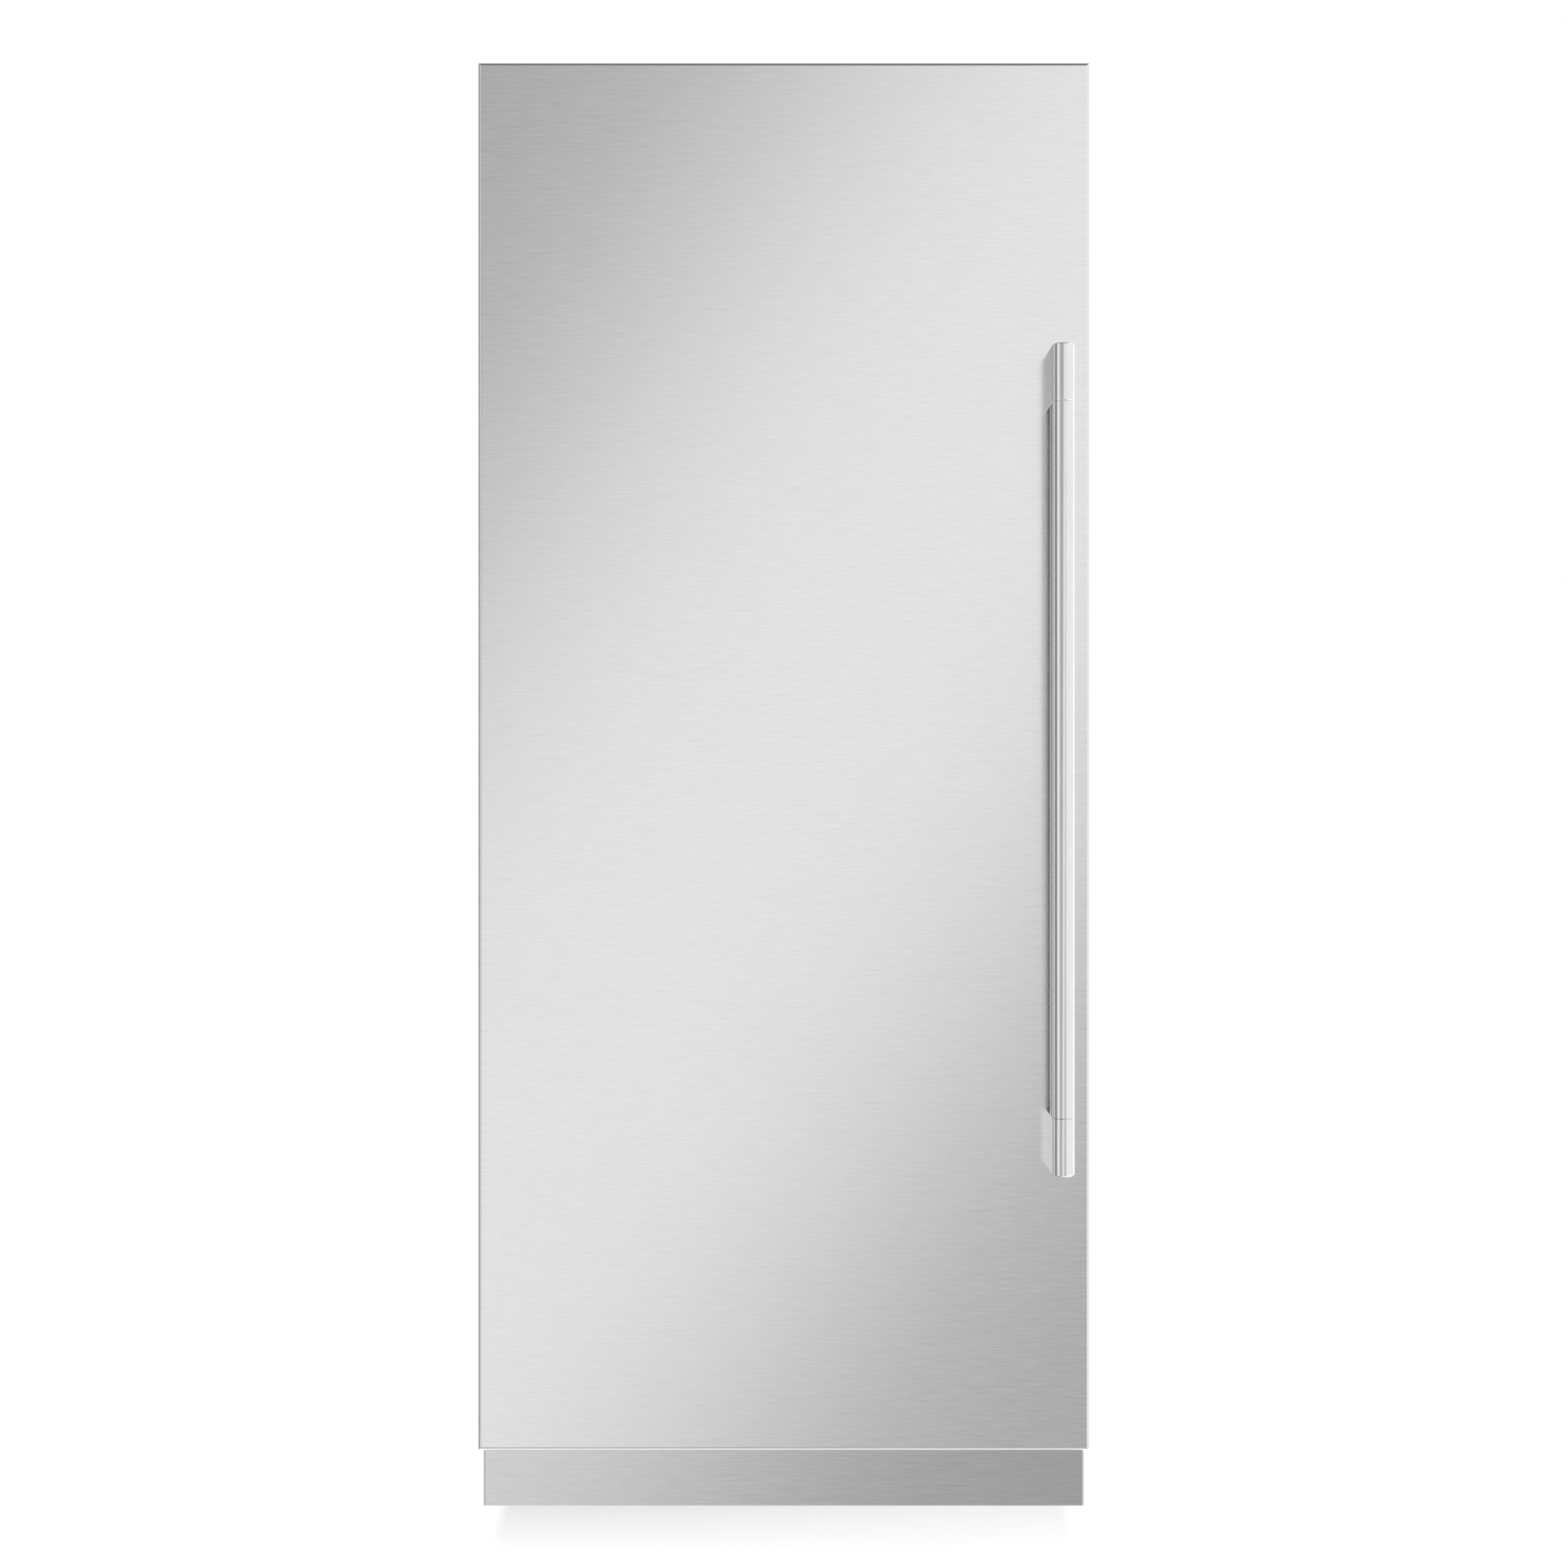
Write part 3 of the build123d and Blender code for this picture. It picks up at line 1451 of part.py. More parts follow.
with BuildPart() as condenser_fan_shroud:
    with BuildSketch(side_plane(shroud_x)):
        area(condenser_y - condenser_depth / 2, condenser_y + condenser_depth / 2, tray_top, shroud_top)
        with Locations((condenser_y, condenser_fan_z)):
            Circle(shroud_radius, mode=Mode.SUBTRACT)
    extrude(amount=shroud_sheet)
    with BuildSketch(side_plane(shroud_x)):
        with Locations((condenser_y, condenser_fan_z)):
            Circle(shroud_radius + shroud_sheet)
            Circle(shroud_radius, mode=Mode.SUBTRACT)
    extrude(amount=shroud_end - shroud_x)
    block(
        (shroud_x, condenser_y - condenser_depth / 2, tray_top),
        (shroud_x + shroud_foot, condenser_y + condenser_depth / 2, tray_top + shroud_sheet),
    )
save(condenser_fan_shroud.part, "condenser_fan_shroud")
save(
    fan_motor(
        condenser_motor_plane, condenser_motor_radius, condenser_motor_length,
        shroud_radius + shroud_sheet,
    ),
    "condenser_fan_motor",
)
save(axial_fan(condenser_fan_plane, condenser_fan_radius, condenser_fan_depth), "condenser_fan")

# Compressor on four rubber mounts, midway between the fan's motor and the drain pan
pan_right = niche_side - pan_right_margin
pan_left = pan_right - pan_width_share * 2 * niche_side
motor_end = shroud_end + condenser_motor_length
compressor_x = (motor_end + pan_left) / 2
compressor_y = case_back - compressor_rear_gap
compressor_low = tray_top + mount_height
shell_low = compressor_low + compressor_plate
seam_low = shell_low + compressor_seam_share * compressor_shell_height

with BuildPart() as compressor:
    with BuildSketch(Plane((compressor_x, compressor_y, shell_low), x_dir=(1, 0, 0), z_dir=(0, -1, 0))):
        with BuildLine():
            Polyline(
                (0, 0),
                *[
                    (across * compressor_radius, up * compressor_shell_height)
                    for across, up in compressor_shell_shares
                ],
                (0, compressor_shell_height),
                close=True,
            )
        make_face()
    revolve(axis=Axis((compressor_x, compressor_y, shell_low), (0, 0, 1)))
    with BuildSketch(floor_plane(seam_low)):
        with Locations((compressor_x, compressor_y)):
            Circle(compressor_radius + compressor_seam)
    extrude(amount=compressor_seam_height)
    with BuildSketch(floor_plane(compressor_low)):
        with Locations((compressor_x, compressor_y)):
            RectangleRounded(compressor_plate_width, compressor_plate_depth, mount_inset)
    extrude(amount=compressor_plate)
    terminal_y = compressor_y - compressor_radius
    block(
        (compressor_x - terminal_width / 2, terminal_y - terminal_depth / 2, seam_low - terminal_height),
        (compressor_x + terminal_width / 2, terminal_y + terminal_depth / 2, seam_low),
    )
save(compressor.part, "compressor")

with BuildPart() as compressor_mounts:
    for across in (-1, 1):
        for along in (-1, 1):
            mount_x = compressor_x + across * (compressor_plate_width / 2 - mount_inset)
            mount_y = compressor_y + along * (compressor_plate_depth / 2 - mount_inset)
            with BuildSketch(floor_plane(tray_top)):
                with Locations((mount_x, mount_y)):
                    Circle(mount_radius)
            extrude(amount=mount_height)
save(compressor_mounts.part, "compressor_mounts")

# Refrigerant lines: discharge to the condenser, suction from the foam, and liquid through a drier
line_z = shell_low + compressor_shell_height / 3
discharge_z = shroud_top + tube_rise
liquid_x = condenser_x + condenser_width / 4
plate_face_y = condenser_y - condenser_depth / 2 - coil_plate / 2
liquid_y = plate_face_y - drier_radius - line_plate_gap
ceiling = niche_top - seat_gap
discharge_x = compressor_x - compressor_radius
suction_x = compressor_x + compressor_radius
tube_routes = (
    (
        (discharge_x, compressor_y, line_z),
        (discharge_x - 2 * tube_bend, compressor_y, line_z),
        (discharge_x - 2 * tube_bend, compressor_y, discharge_z),
        (condenser_x, compressor_y, discharge_z),
        (condenser_x, compressor_y, shroud_top),
    ),
    (
        (suction_x, compressor_y, line_z),
        (suction_x + 2 * tube_bend, compressor_y, line_z),
        (suction_x + 2 * tube_bend, compressor_y, ceiling),
    ),
    (
        (liquid_x, plate_face_y, condenser_low + line_margin),
        (liquid_x, liquid_y, condenser_low + line_margin),
        (liquid_x, liquid_y, ceiling),
    ),
)

with BuildPart() as refrigerant_lines:
    for route, bend in zip(tube_routes, (tube_bend, tube_bend, liquid_bend)):
        with BuildLine() as tube_path:
            FilletPolyline(*route, radius=bend)
        with BuildSketch(Plane(tube_path.line @ 0, z_dir=tube_path.line % 0)):
            RegularPolygon(tube_radius, tube_sides)
        sweep(path=tube_path.line)
    with BuildSketch(floor_plane(condenser_fan_z)):
        with Locations((liquid_x, liquid_y)):
            Circle(drier_radius)
    extrude(amount=drier_length)
    drier_rims = refrigerant_lines.faces().filter_by(Axis.Z).edges().filter_by(GeomType.CIRCLE)
    chamfer(drier_rims, drier_radius - 2 * tube_radius)
save(refrigerant_lines.part, "refrigerant_lines")

# Drain pan on the tray, which dries off the melt water
with BuildPart() as drain_pan:
    pan_back = case_back - pan_rear_gap
    with BuildSketch(floor_plane(tray_top)):
        rounded_area(pan_left, pan_right, pan_back - pan_depth, pan_back, pan_right_margin)
    extrude(amount=pan_height)
    offset(amount=-pan_wall, openings=drain_pan.faces().sort_by(Axis.Z)[-1])
save(drain_pan.part, "drain_pan")

# Rear cover of the compressor compartment, with louvres pressed inwards, and the power inlet in it
cover_face = case_back - case_sheet
inlet_x = niche_side - inlet_side_margin
louvre_column_pitch = louvre_column_share * 2 * niche_side
louvre_width = louvre_width_share * louvre_column_pitch

with BuildPart() as rear_cover:
    with BuildSketch(front_plane(case_back)):
        area(-case_side, case_side, rear_cover_bottom, niche_top)
        for column in range(louvre_columns):
            louvre_x = (column - (louvre_columns - 1) / 2) * louvre_column_pitch
            for row in range(louvre_rows):
                with Locations((louvre_x, louvre_first_height + row * louvre_pitch)):
                    Rectangle(louvre_width, louvre_height, mode=Mode.SUBTRACT)
        with Locations((inlet_x, inlet_z)):
            Rectangle(inlet_width + 2 * seat_gap, inlet_height + 2 * seat_gap, mode=Mode.SUBTRACT)
    extrude(amount=case_sheet)
    for column in range(louvre_columns):
        louvre_x = (column - (louvre_columns - 1) / 2) * louvre_column_pitch
        with BuildSketch(side_plane(louvre_x - louvre_width / 2)):
            for row in range(louvre_rows):
                slot_top = louvre_first_height + row * louvre_pitch + louvre_height / 2
                with BuildLine():
                    Polyline(
                        (cover_face, slot_top),
                        (cover_face, slot_top + louvre_hood),
                        (cover_face - louvre_hood, slot_top - louvre_height),
                        (cover_face - louvre_hood, slot_top - louvre_height - case_sheet),
                        close=True,
                    )
                make_face()
        extrude(amount=louvre_width)
save(rear_cover.part, "rear_cover")

with BuildPart() as power_inlet:
    with BuildSketch(front_plane(case_back)):
        with Locations((inlet_x, inlet_z)):
            Rectangle(inlet_width, inlet_height)
    extrude(amount=inlet_depth)
    chamfer(power_inlet.edges().filter_by(Axis.Y).group_by(Axis.Z)[-1], inlet_chamfer)
    with BuildSketch(front_plane(cover_face)):
        with Locations((inlet_x, inlet_z)):
            Rectangle(inlet_width + 2 * inlet_flange, inlet_height + inlet_flange)
    extrude(amount=inlet_flange_sheet)
    recess_bottom = case_back - inlet_depth + inlet_wall
    with BuildSketch(front_plane(recess_bottom)):
        with Locations((inlet_x, inlet_z)):
            Rectangle(inlet_width - 2 * inlet_wall, inlet_height - 2 * inlet_wall)
    extrude(amount=recess_bottom - case_back - overrun, mode=Mode.SUBTRACT)
    with BuildSketch(front_plane(recess_bottom)):
        with Locations(
            (inlet_x - inlet_pin_pitch, inlet_z - inlet_pin_width),
            (inlet_x, inlet_z + inlet_pin_width),
            (inlet_x + inlet_pin_pitch, inlet_z - inlet_pin_width),
        ):
            Rectangle(inlet_pin_width, inlet_pin_height)
    extrude(amount=inlet_wall + recess_bottom - case_back)
save(power_inlet.part, "power_inlet")

# Water inlet valve, hung under the cabinet behind the toe kick, with its stub pointing down
valve_x = case_side - valve_side_margin
valve_low = base_height - valve_plate - valve_body_height
hex_low = valve_low - water_stub_hex_length
stub_low = hex_low - water_stub_length

with BuildPart() as water_valve:
    with BuildSketch(floor_plane(valve_low)):
        with Locations((valve_x, valve_y)):
            Circle(valve_body_radius)
    extrude(amount=valve_body_height)
    with BuildSketch(floor_plane(valve_low + valve_body_height)):
        with Locations((valve_x, valve_y)):
            Rectangle(valve_plate_width, valve_plate_width)
    extrude(amount=valve_plate)
    with BuildSketch(floor_plane(valve_low + (valve_body_height - valve_coil_height) / 2)):
        with Locations((valve_x, valve_y + valve_coil_width / 2)):
            Rectangle(valve_coil_width, valve_coil_width)
    extrude(amount=valve_coil_height)
    with BuildSketch(floor_plane(hex_low)):
        with Locations((valve_x, valve_y)):
            RegularPolygon(water_stub_hex, 6)
    extrude(amount=water_stub_hex_length)
    with BuildSketch(floor_plane(stub_low)):
        with Locations((valve_x, valve_y)):
            Circle(water_stub_radius)
    extrude(amount=water_stub_length)
    with BuildSketch(floor_plane(stub_low)):
        with Locations((valve_x, valve_y)):
            Circle(water_bore_radius)
    extrude(amount=water_stub_length, mode=Mode.SUBTRACT)
save(water_valve.part, "water_valve")

# Service channel on top of the cabinet, which covers the control box and the upper hinge's foot
channel_back = case_back - channel_rear_setback

with BuildPart() as top_cover:
    block((-case_side, case_front, foam_top), (case_side, channel_back, case_top))
    fillet(top_cover.faces().sort_by(Axis.Z)[-1].edges(), channel_bend)
    offset(amount=-channel_sheet, openings=top_cover.faces().sort_by(Axis.Z)[0])
    block(
        (pivot_x - hinge_arm_offset - arm_slot_margin, case_front - overrun, foam_top - overrun),
        (
            pivot_x - hinge_arm_offset + hinge_arm_width + arm_slot_margin,
            case_front + channel_sheet + overrun, foam_top + arm_slot_height,
        ),
        mode=Mode.SUBTRACT,
    )
save(top_cover.part, "top_cover")

with BuildPart() as control_box:
    box_front = case_front + control_box_setback
    box_right = case_side - control_box_side_margin
    box_middle = box_right - control_box_width / 2
    with BuildSketch(floor_plane(foam_top)):
        area(
            box_right - control_box_width, box_right,
            box_front, box_front + control_box_depth,
        )
    extrude(amount=control_box_height)
    rib_pitch = control_box_width / (control_lid_ribs + 1)
    with BuildSketch(floor_plane(foam_top + control_box_height)):
        with Locations((box_middle, box_front + control_box_depth / 2)):
            with GridLocations(rib_pitch, 0, control_lid_ribs, 1):
                Rectangle(control_lid_rib, control_box_depth - rib_pitch)
    extrude(amount=control_lid_rib)
save(control_box.part, "control_box")

# Anti-tip brackets on the case top, with their wall holes in the upright leg
anchor_x = case_side - anchor_side_margin

with BuildPart() as anti_tip_brackets:
    for x in (-anchor_x, anchor_x):
        with BuildSketch(side_plane(x - anchor_width / 2)):
            area(case_back - anchor_base, case_back, foam_top, foam_top + anchor_sheet)
            area(case_back - anchor_sheet, case_back, foam_top, foam_top + anchor_height)
        extrude(amount=anchor_width)
        with BuildSketch(front_plane(case_back + overrun)):
            with Locations((x, foam_top + anchor_hole_height)):
                with GridLocations(anchor_hole_spacing, 0, 2, 1):
                    Circle(anchor_hole_radius)
        extrude(amount=anchor_sheet + 2 * overrun, mode=Mode.SUBTRACT)
    chamfer(anti_tip_brackets.edges().filter_by(Axis.Y).group_by(Axis.Z)[-1], anchor_corner)
save(anti_tip_brackets.part, "anti_tip_brackets")
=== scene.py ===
import math

import bpy
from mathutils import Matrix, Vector


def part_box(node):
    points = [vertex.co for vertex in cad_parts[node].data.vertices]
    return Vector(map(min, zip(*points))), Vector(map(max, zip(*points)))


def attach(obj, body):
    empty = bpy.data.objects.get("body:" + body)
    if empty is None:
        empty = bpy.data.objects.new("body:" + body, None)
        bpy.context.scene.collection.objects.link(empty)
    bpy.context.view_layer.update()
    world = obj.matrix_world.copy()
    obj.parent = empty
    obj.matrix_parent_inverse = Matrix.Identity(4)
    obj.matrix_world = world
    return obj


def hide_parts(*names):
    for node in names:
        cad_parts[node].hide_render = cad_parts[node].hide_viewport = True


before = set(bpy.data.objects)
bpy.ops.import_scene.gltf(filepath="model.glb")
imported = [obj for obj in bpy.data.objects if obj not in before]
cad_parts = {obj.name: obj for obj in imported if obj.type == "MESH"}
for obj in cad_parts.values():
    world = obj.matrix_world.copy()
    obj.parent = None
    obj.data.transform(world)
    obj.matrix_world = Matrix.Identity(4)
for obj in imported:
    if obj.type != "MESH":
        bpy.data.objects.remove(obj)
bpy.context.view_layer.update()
print("column freezer loaded:", len(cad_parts), "pieces")


# Shader maths: a Wire is one output socket, and expressions on wires add their Math nodes
class Wire:
    def __init__(self, board, socket):
        self.board = board
        self.socket = socket

    def __add__(self, other):
        return self.board.maths("ADD", self, other)

    def __radd__(self, other):
        return self.board.maths("ADD", other, self)

    def __sub__(self, other):
        return self.board.maths("SUBTRACT", self, other)

    def __rsub__(self, other):
        return self.board.maths("SUBTRACT", other, self)

    def __mul__(self, other):
        return self.board.maths("MULTIPLY", self, other)

    def __truediv__(self, other):
        return self.board.maths("DIVIDE", self, other)


class NodeBoard:
    # The nodes of one material or of the world
    def __init__(self, owner):
        owner.use_nodes = True
        self.owner = owner
        self.tree = owner.node_tree
        self.tree.nodes.clear()

    def add(self, kind, settings, sockets, output=0):
        node = self.tree.nodes.new(kind)
        for name, value in settings.items():
            if name == "stops":
                self.setStops(node.color_ramp, value)
            else:
                setattr(node, name, value)
        for name, value in sockets.items():
            if isinstance(value, Wire):
                self.tree.links.new(value.socket, node.inputs[name])
            else:
                node.inputs[name].default_value = value
        return Wire(self, node.outputs[output]) if len(node.outputs) else node

    def setStops(self, ramp, stops):
        # Every stop is a place from 0 to 1 and a grey level
        while len(ramp.elements) < len(stops):
            ramp.elements.new(1.0)
        for element, (place, level) in zip(ramp.elements, stops):
            element.position = place
            element.color = (level, level, level, 1.0)

    def maths(self, operation, left, right, clamp=False):
        return self.add(
            "ShaderNodeMath", {"operation": operation, "use_clamp": clamp}, {0: left, 1: right},
        )

    def weigh(self, first, second, share):
        # The mean of two levels, with the first one's share given
        return first * share + second * (1.0 - share)

    def blend(self, share, first, second):
        # A colour between two colours
        return self.add(
            "ShaderNodeMix", {"data_type": "RGBA"},
            {"Factor": share, 6: first, 7: second}, output=2,
        )

    def axes(self, vector):
        # The X, Y and Z of a vector
        first = self.add("ShaderNodeSeparateXYZ", {}, {"Vector": vector})
        return [Wire(self, socket) for socket in first.socket.node.outputs]

    def raysSeen(self, *kinds):
        # 1 where the ray is of one of these kinds
        rays = self.add("ShaderNodeLightPath", {}, {}).socket.node.outputs
        seen = Wire(self, rays[kinds[0]])
        for kind in kinds[1:]:
            seen = self.maths("MAXIMUM", seen, Wire(self, rays[kind]))
        return seen

    def ownPlace(self, stretch=(1.0, 1.0, 1.0)):
        # The place on the piece, in metres, stretched along its axes
        place = self.add("ShaderNodeTexCoord", {}, {}, output=3)
        return self.add("ShaderNodeMapping", {}, {"Vector": place, "Scale": stretch})

    def noise(self, scale, stretch=(1.0, 1.0, 1.0), detail=3.0, roughness=0.5, distortion=0.0):
        return self.add("ShaderNodeTexNoise", {}, {
            "Vector": self.ownPlace(stretch), "Scale": scale, "Detail": detail,
            "Roughness": roughness, "Distortion": distortion,
        })

    def cells(self, scale, output=0):
        return self.add(
            "ShaderNodeTexVoronoi", {"feature": "F1"},
            {"Vector": self.ownPlace(), "Scale": scale}, output=output,
        )

    def ramp(self, share, stops):
        return self.add("ShaderNodeValToRGB", {"stops": stops}, {"Fac": share})

    def relief(self, height, strength, depth):
        return self.add("ShaderNodeBump", {}, {
            "Height": height, "Strength": strength, "Distance": depth,
        })

    def finish(self, sockets):
        shader = self.add("ShaderNodeBsdfPrincipled", {}, sockets)
        self.add("ShaderNodeOutputMaterial", {}, {"Surface": shader})
        return self.owner


def newFinish(name):
    return NodeBoard(bpy.data.materials.new(name))


# Every CAD node carries a material named after its slot in the record
slotNodes = {}
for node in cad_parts.values():
    slotNodes.setdefault(node.material_slots[0].name, []).append(node)
finishes = {}


def dressSlot(slotName, material):
    finishes[slotName] = material
    for node in slotNodes[slotName]:
        node.material_slots[0].material = material


# Camera at the photograph's height and angle
camera = {
    "distance": 3.4515,
    "height": 1.0835,
    "lens": 49.46,
    "sensor": 36.0,
}


def placeCamera(values):
    bpy.ops.object.camera_add(
        location=(0, -values["distance"], values["height"]), rotation=(math.radians(90), 0, 0),
    )
    view = bpy.context.object
    view.data.lens = values["lens"]
    view.data.sensor_width = values["sensor"]
    bpy.context.scene.camera = view
    bpy.context.scene.view_settings.view_transform = "Standard"


placeCamera(camera)

# The studio is white where the camera looks and even for matt surfaces. Metal sees a slanting
# light band, bright walls at both sides and low behind, and dark corners above and behind the
# left wall. A reach holds where a light or a shade starts and where it is full.
studio = {
    "mattLevel": 0.62,
    "darkest": 0.1,
    "bandTurn": (0.83, -0.558),
    "bandShift": 0.012,
    "bandStops": [
        (0.0, 1.0), (0.19, 1.0), (0.27, 0.85), (0.34, 0.73), (0.40, 0.60), (0.46, 0.49), (0.60, 0.475),
    ],
    "bandScale": 2.0,
    "bandLevel": 1.08,
    "flattest": 0.2,
    "rightGlow": 0.6,
    "rightReach": (0.22, 0.45),
    "leftGlow": 0.6,
    "leftReach": (0.55, 0.85),
    "backGlow": 0.35,
    "backReach": (0.3, 0.7),
    "footGlow": 0.15,
    "footReach": (0.4, 0.8),
    "underGlow": 1.2,
    "underReach": (-0.2, 0.0),
    "topShade": 0.3,
    "topReach": (0.45, 0.8),
    "edgeShade": 0.95,
    "edgeLeftReach": (0.45, 0.8),
    "edgeBackReach": (-0.4, -0.05),
}


def lightStudio(values):
    world = bpy.data.worlds.new("studio")
    bpy.context.scene.world = world
    board = NodeBoard(world)
    direction = board.add("ShaderNodeTexCoord", {}, {}, output=0)
    across, back, up = board.axes(direction)

    def reach(amount, kind):
        start, end = values[kind + "Reach"]
        return board.add("ShaderNodeMapRange", {"interpolation_type": "SMOOTHSTEP"}, {
            "Value": amount, "From Min": start, "From Max": end,
        })

    front = board.maths("MAXIMUM", 0.0 - back, values["flattest"])
    turnAcross, turnUp = values["bandTurn"]
    offset = across / front * turnAcross + up / front * turnUp + values["bandShift"]
    band = board.ramp(board.maths("ABSOLUTE", offset, 0.0) * values["bandScale"], values["bandStops"])
    left = 0.0 - across
    metalLevel = (
        band * values["bandLevel"]
        + reach(across, "right") * values["rightGlow"]
        + reach(left, "left") * values["leftGlow"]
        + reach(back, "back") * values["backGlow"]
        + reach(0.0 - up, "foot") * (values["footGlow"] + reach(back, "under") * values["underGlow"])
        - reach(up, "top") * values["topShade"]
        - reach(left, "edgeLeft") * reach(back, "edgeBack") * values["edgeShade"]
    )
    seen = board.raysSeen("Is Camera Ray", "Is Transmission Ray")
    glossy = board.raysSeen("Is Glossy Ray")
    metal = board.maths("MAXIMUM", metalLevel, values["darkest"])
    unseenLevel = glossy * metal + (1.0 - glossy) * values["mattLevel"]
    background = board.add("ShaderNodeBackground", {}, {
        "Color": (1.0, 1.0, 1.0, 1.0), "Strength": seen + (1.0 - seen) * unseenLevel,
    })
    board.add("ShaderNodeOutputWorld", {}, {"Surface": background})


lightStudio(studio)

# Soft lamps that shape matt surfaces and stay out of the reflections
lamps = {
    "key": {"place": (-2.4, -3.6, 3.4), "size": 2.6, "power": 75},
    "fill": {"place": (2.8, -3.2, 1.8), "size": 2.4, "power": 38},
    "top": {"place": (0.2, 0.4, 5.0), "size": 2.6, "power": 60},
    "rear": {"place": (-1.2, 4.2, 2.6), "size": 2.6, "power": 62},
}
lampTarget = (0.0, 0.0, 1.0)


def hangLamps(values, target):
    for name, lamp in values.items():
        bpy.ops.object.light_add(type="AREA", location=lamp["place"])
        light = bpy.context.object
        light.name = name + "_lamp"
        light.data.size = lamp["size"]
        light.data.energy = lamp["power"]
        aim = Vector(target) - Vector(lamp["place"])
        light.rotation_euler = aim.to_track_quat("-Z", "Y").to_euler()
        light.visible_glossy = False


hangLamps(lamps, lampTarget)

# White floor that keeps a faint shadow and mirrors the foot of the freezer in front of it
floorValues = {
    "size": 40.0,
    "glow": 0.8,
    "level": 1.13,
    "colour": (0.9, 0.9, 0.9, 1.0),
    "mirrorShare": 0.32,
    "mirrorReach": 0.26,
    "mirrorSide": 0.43,
    "mirrorEdge": 0.02,
    "mirrorRoughness": 0.06,
}


def layFloor(values):
    bpy.ops.mesh.primitive_plane_add(size=values["size"], location=(0, 0, 0))
    floor = bpy.context.object
    floor.name = "studio_floor"
    board = newFinish("floor_white")
    across, back, up = board.axes(board.ownPlace())
    seen = board.raysSeen("Is Camera Ray", "Is Glossy Ray", "Is Transmission Ray")
    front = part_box("toe_kick")[0].y
    depth = (front - back) / values["mirrorReach"]
    nearness = board.maths("SUBTRACT", 1.0, depth, clamp=True)
    inside = values["mirrorSide"] - board.maths("ABSOLUTE", across, 0.0)
    side = board.maths("DIVIDE", inside, values["mirrorEdge"], clamp=True)
    inFront = board.maths("GREATER_THAN", depth, 0.0)
    matt = board.add("ShaderNodeBsdfDiffuse", {}, {"Color": values["colour"]})
    glow = board.add("ShaderNodeEmission", {}, {
        "Color": (1.0, 1.0, 1.0, 1.0), "Strength": values["level"],
    })
    mirror = board.add("ShaderNodeBsdfGlossy", {}, {
        "Color": (1.0, 1.0, 1.0, 1.0), "Roughness": values["mirrorRoughness"],
    })
    white = board.add("ShaderNodeMixShader", {}, {0: seen * values["glow"], 1: matt, 2: glow})
    whole = board.add("ShaderNodeMixShader", {}, {
        0: nearness * side * inFront * values["mirrorShare"], 1: white, 2: mirror,
    })
    board.add("ShaderNodeOutputMaterial", {}, {"Surface": whole})
    floor.data.materials.append(board.owner)
    floor.visible_glossy = False


layFloor(floorValues)
print("camera, studio and floor placed")

# Every finish has its colours, its patterns and what they do to the roughness and the relief. A
# pattern's scale and a count of cells are per metre.

# Brushed stainless steel of the door, the kick plate and the handle
steel = {
    "bright": (0.770, 0.769, 0.767, 1.0),
    "dull": (0.700, 0.700, 0.699, 1.0),
    "strokeLong": 26.0,
    "strokeThick": 460.0,
    "hairFineness": 2.2,
    "stroke": {"scale": 1.0, "detail": 4.0, "roughness": 0.62},
    "hair": {"scale": 1.0, "detail": 2.0, "roughness": 0.5},
    "smudge": {"scale": 5.0, "detail": 3.0, "roughness": 0.6, "distortion": 0.4},
    "strokeShare": 0.7,
    "toneStops": [(0.34, 0.0), (0.66, 1.0)],
    "roughness": 0.14,
    "roughnessSpread": 0.05,
    "smudgeRoughness": 0.03,
    "hairline": 0.06,
    "hairlineDepth": 0.0002,
}


def brushedSteel(name, values, grain):
    # The grain is the axis that the brush ran along
    board = newFinish(name)
    stretch = [values["strokeThick"]] * 3
    for axis in grain:
        stretch["XYZ".index(axis)] = values["strokeLong"]
    hairs = [values["hairFineness"] * amount for amount in stretch]
    stroke = board.noise(stretch=stretch, **values["stroke"])
    hair = board.noise(stretch=hairs, **values["hair"])
    smudge = board.noise(**values["smudge"])
    tone = board.ramp(board.weigh(stroke, hair, values["strokeShare"]), values["toneStops"])
    spread = stroke * values["roughnessSpread"] + smudge * values["smudgeRoughness"]
    return board.finish({
        "Base Color": board.blend(tone, values["dull"], values["bright"]),
        "Metallic": 1.0,
        "Roughness": values["roughness"] + spread,
        "Normal": board.relief(hair, values["hairline"], values["hairlineDepth"]),
    })


# The kick plate gets a darker copy of the door's steel: painted shade for the shadow that the door's
# overhang casts on it.
kickSteelPaintedShade = {**steel, "bright": (0.655, 0.655, 0.654, 1.0), "dull": (0.585, 0.585, 0.585, 1.0)}
dressSlot("stainless_brushed", brushedSteel("steel_brushed_across", steel, "XY"))
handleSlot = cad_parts["door_handle"].material_slots[0]
handleSlot.material = brushedSteel("steel_brushed_along", steel, "Z")
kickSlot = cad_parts["toe_kick"].material_slots[0]
kickSlot.material = brushedSteel("steel_brushed_kick_painted_shade", kickSteelPaintedShade, "XY")

# Satin powder coat of the case
coat = {
    "colour": (0.42, 0.43, 0.44, 1.0),
    "faded": (0.39, 0.40, 0.41, 1.0),
    "peel": {"scale": 700.0, "detail": 2.0},
    "patch": {"scale": 3.0, "detail": 4.0, "roughness": 0.65},
    "patchShare": 0.8,
    "fadeStops": [(0.35, 0.0), (0.65, 1.0)],
    "roughness": 0.42,
    "roughnessSpread": 0.14,
    "bump": 0.12,
    "bumpDepth": 0.0004,
}


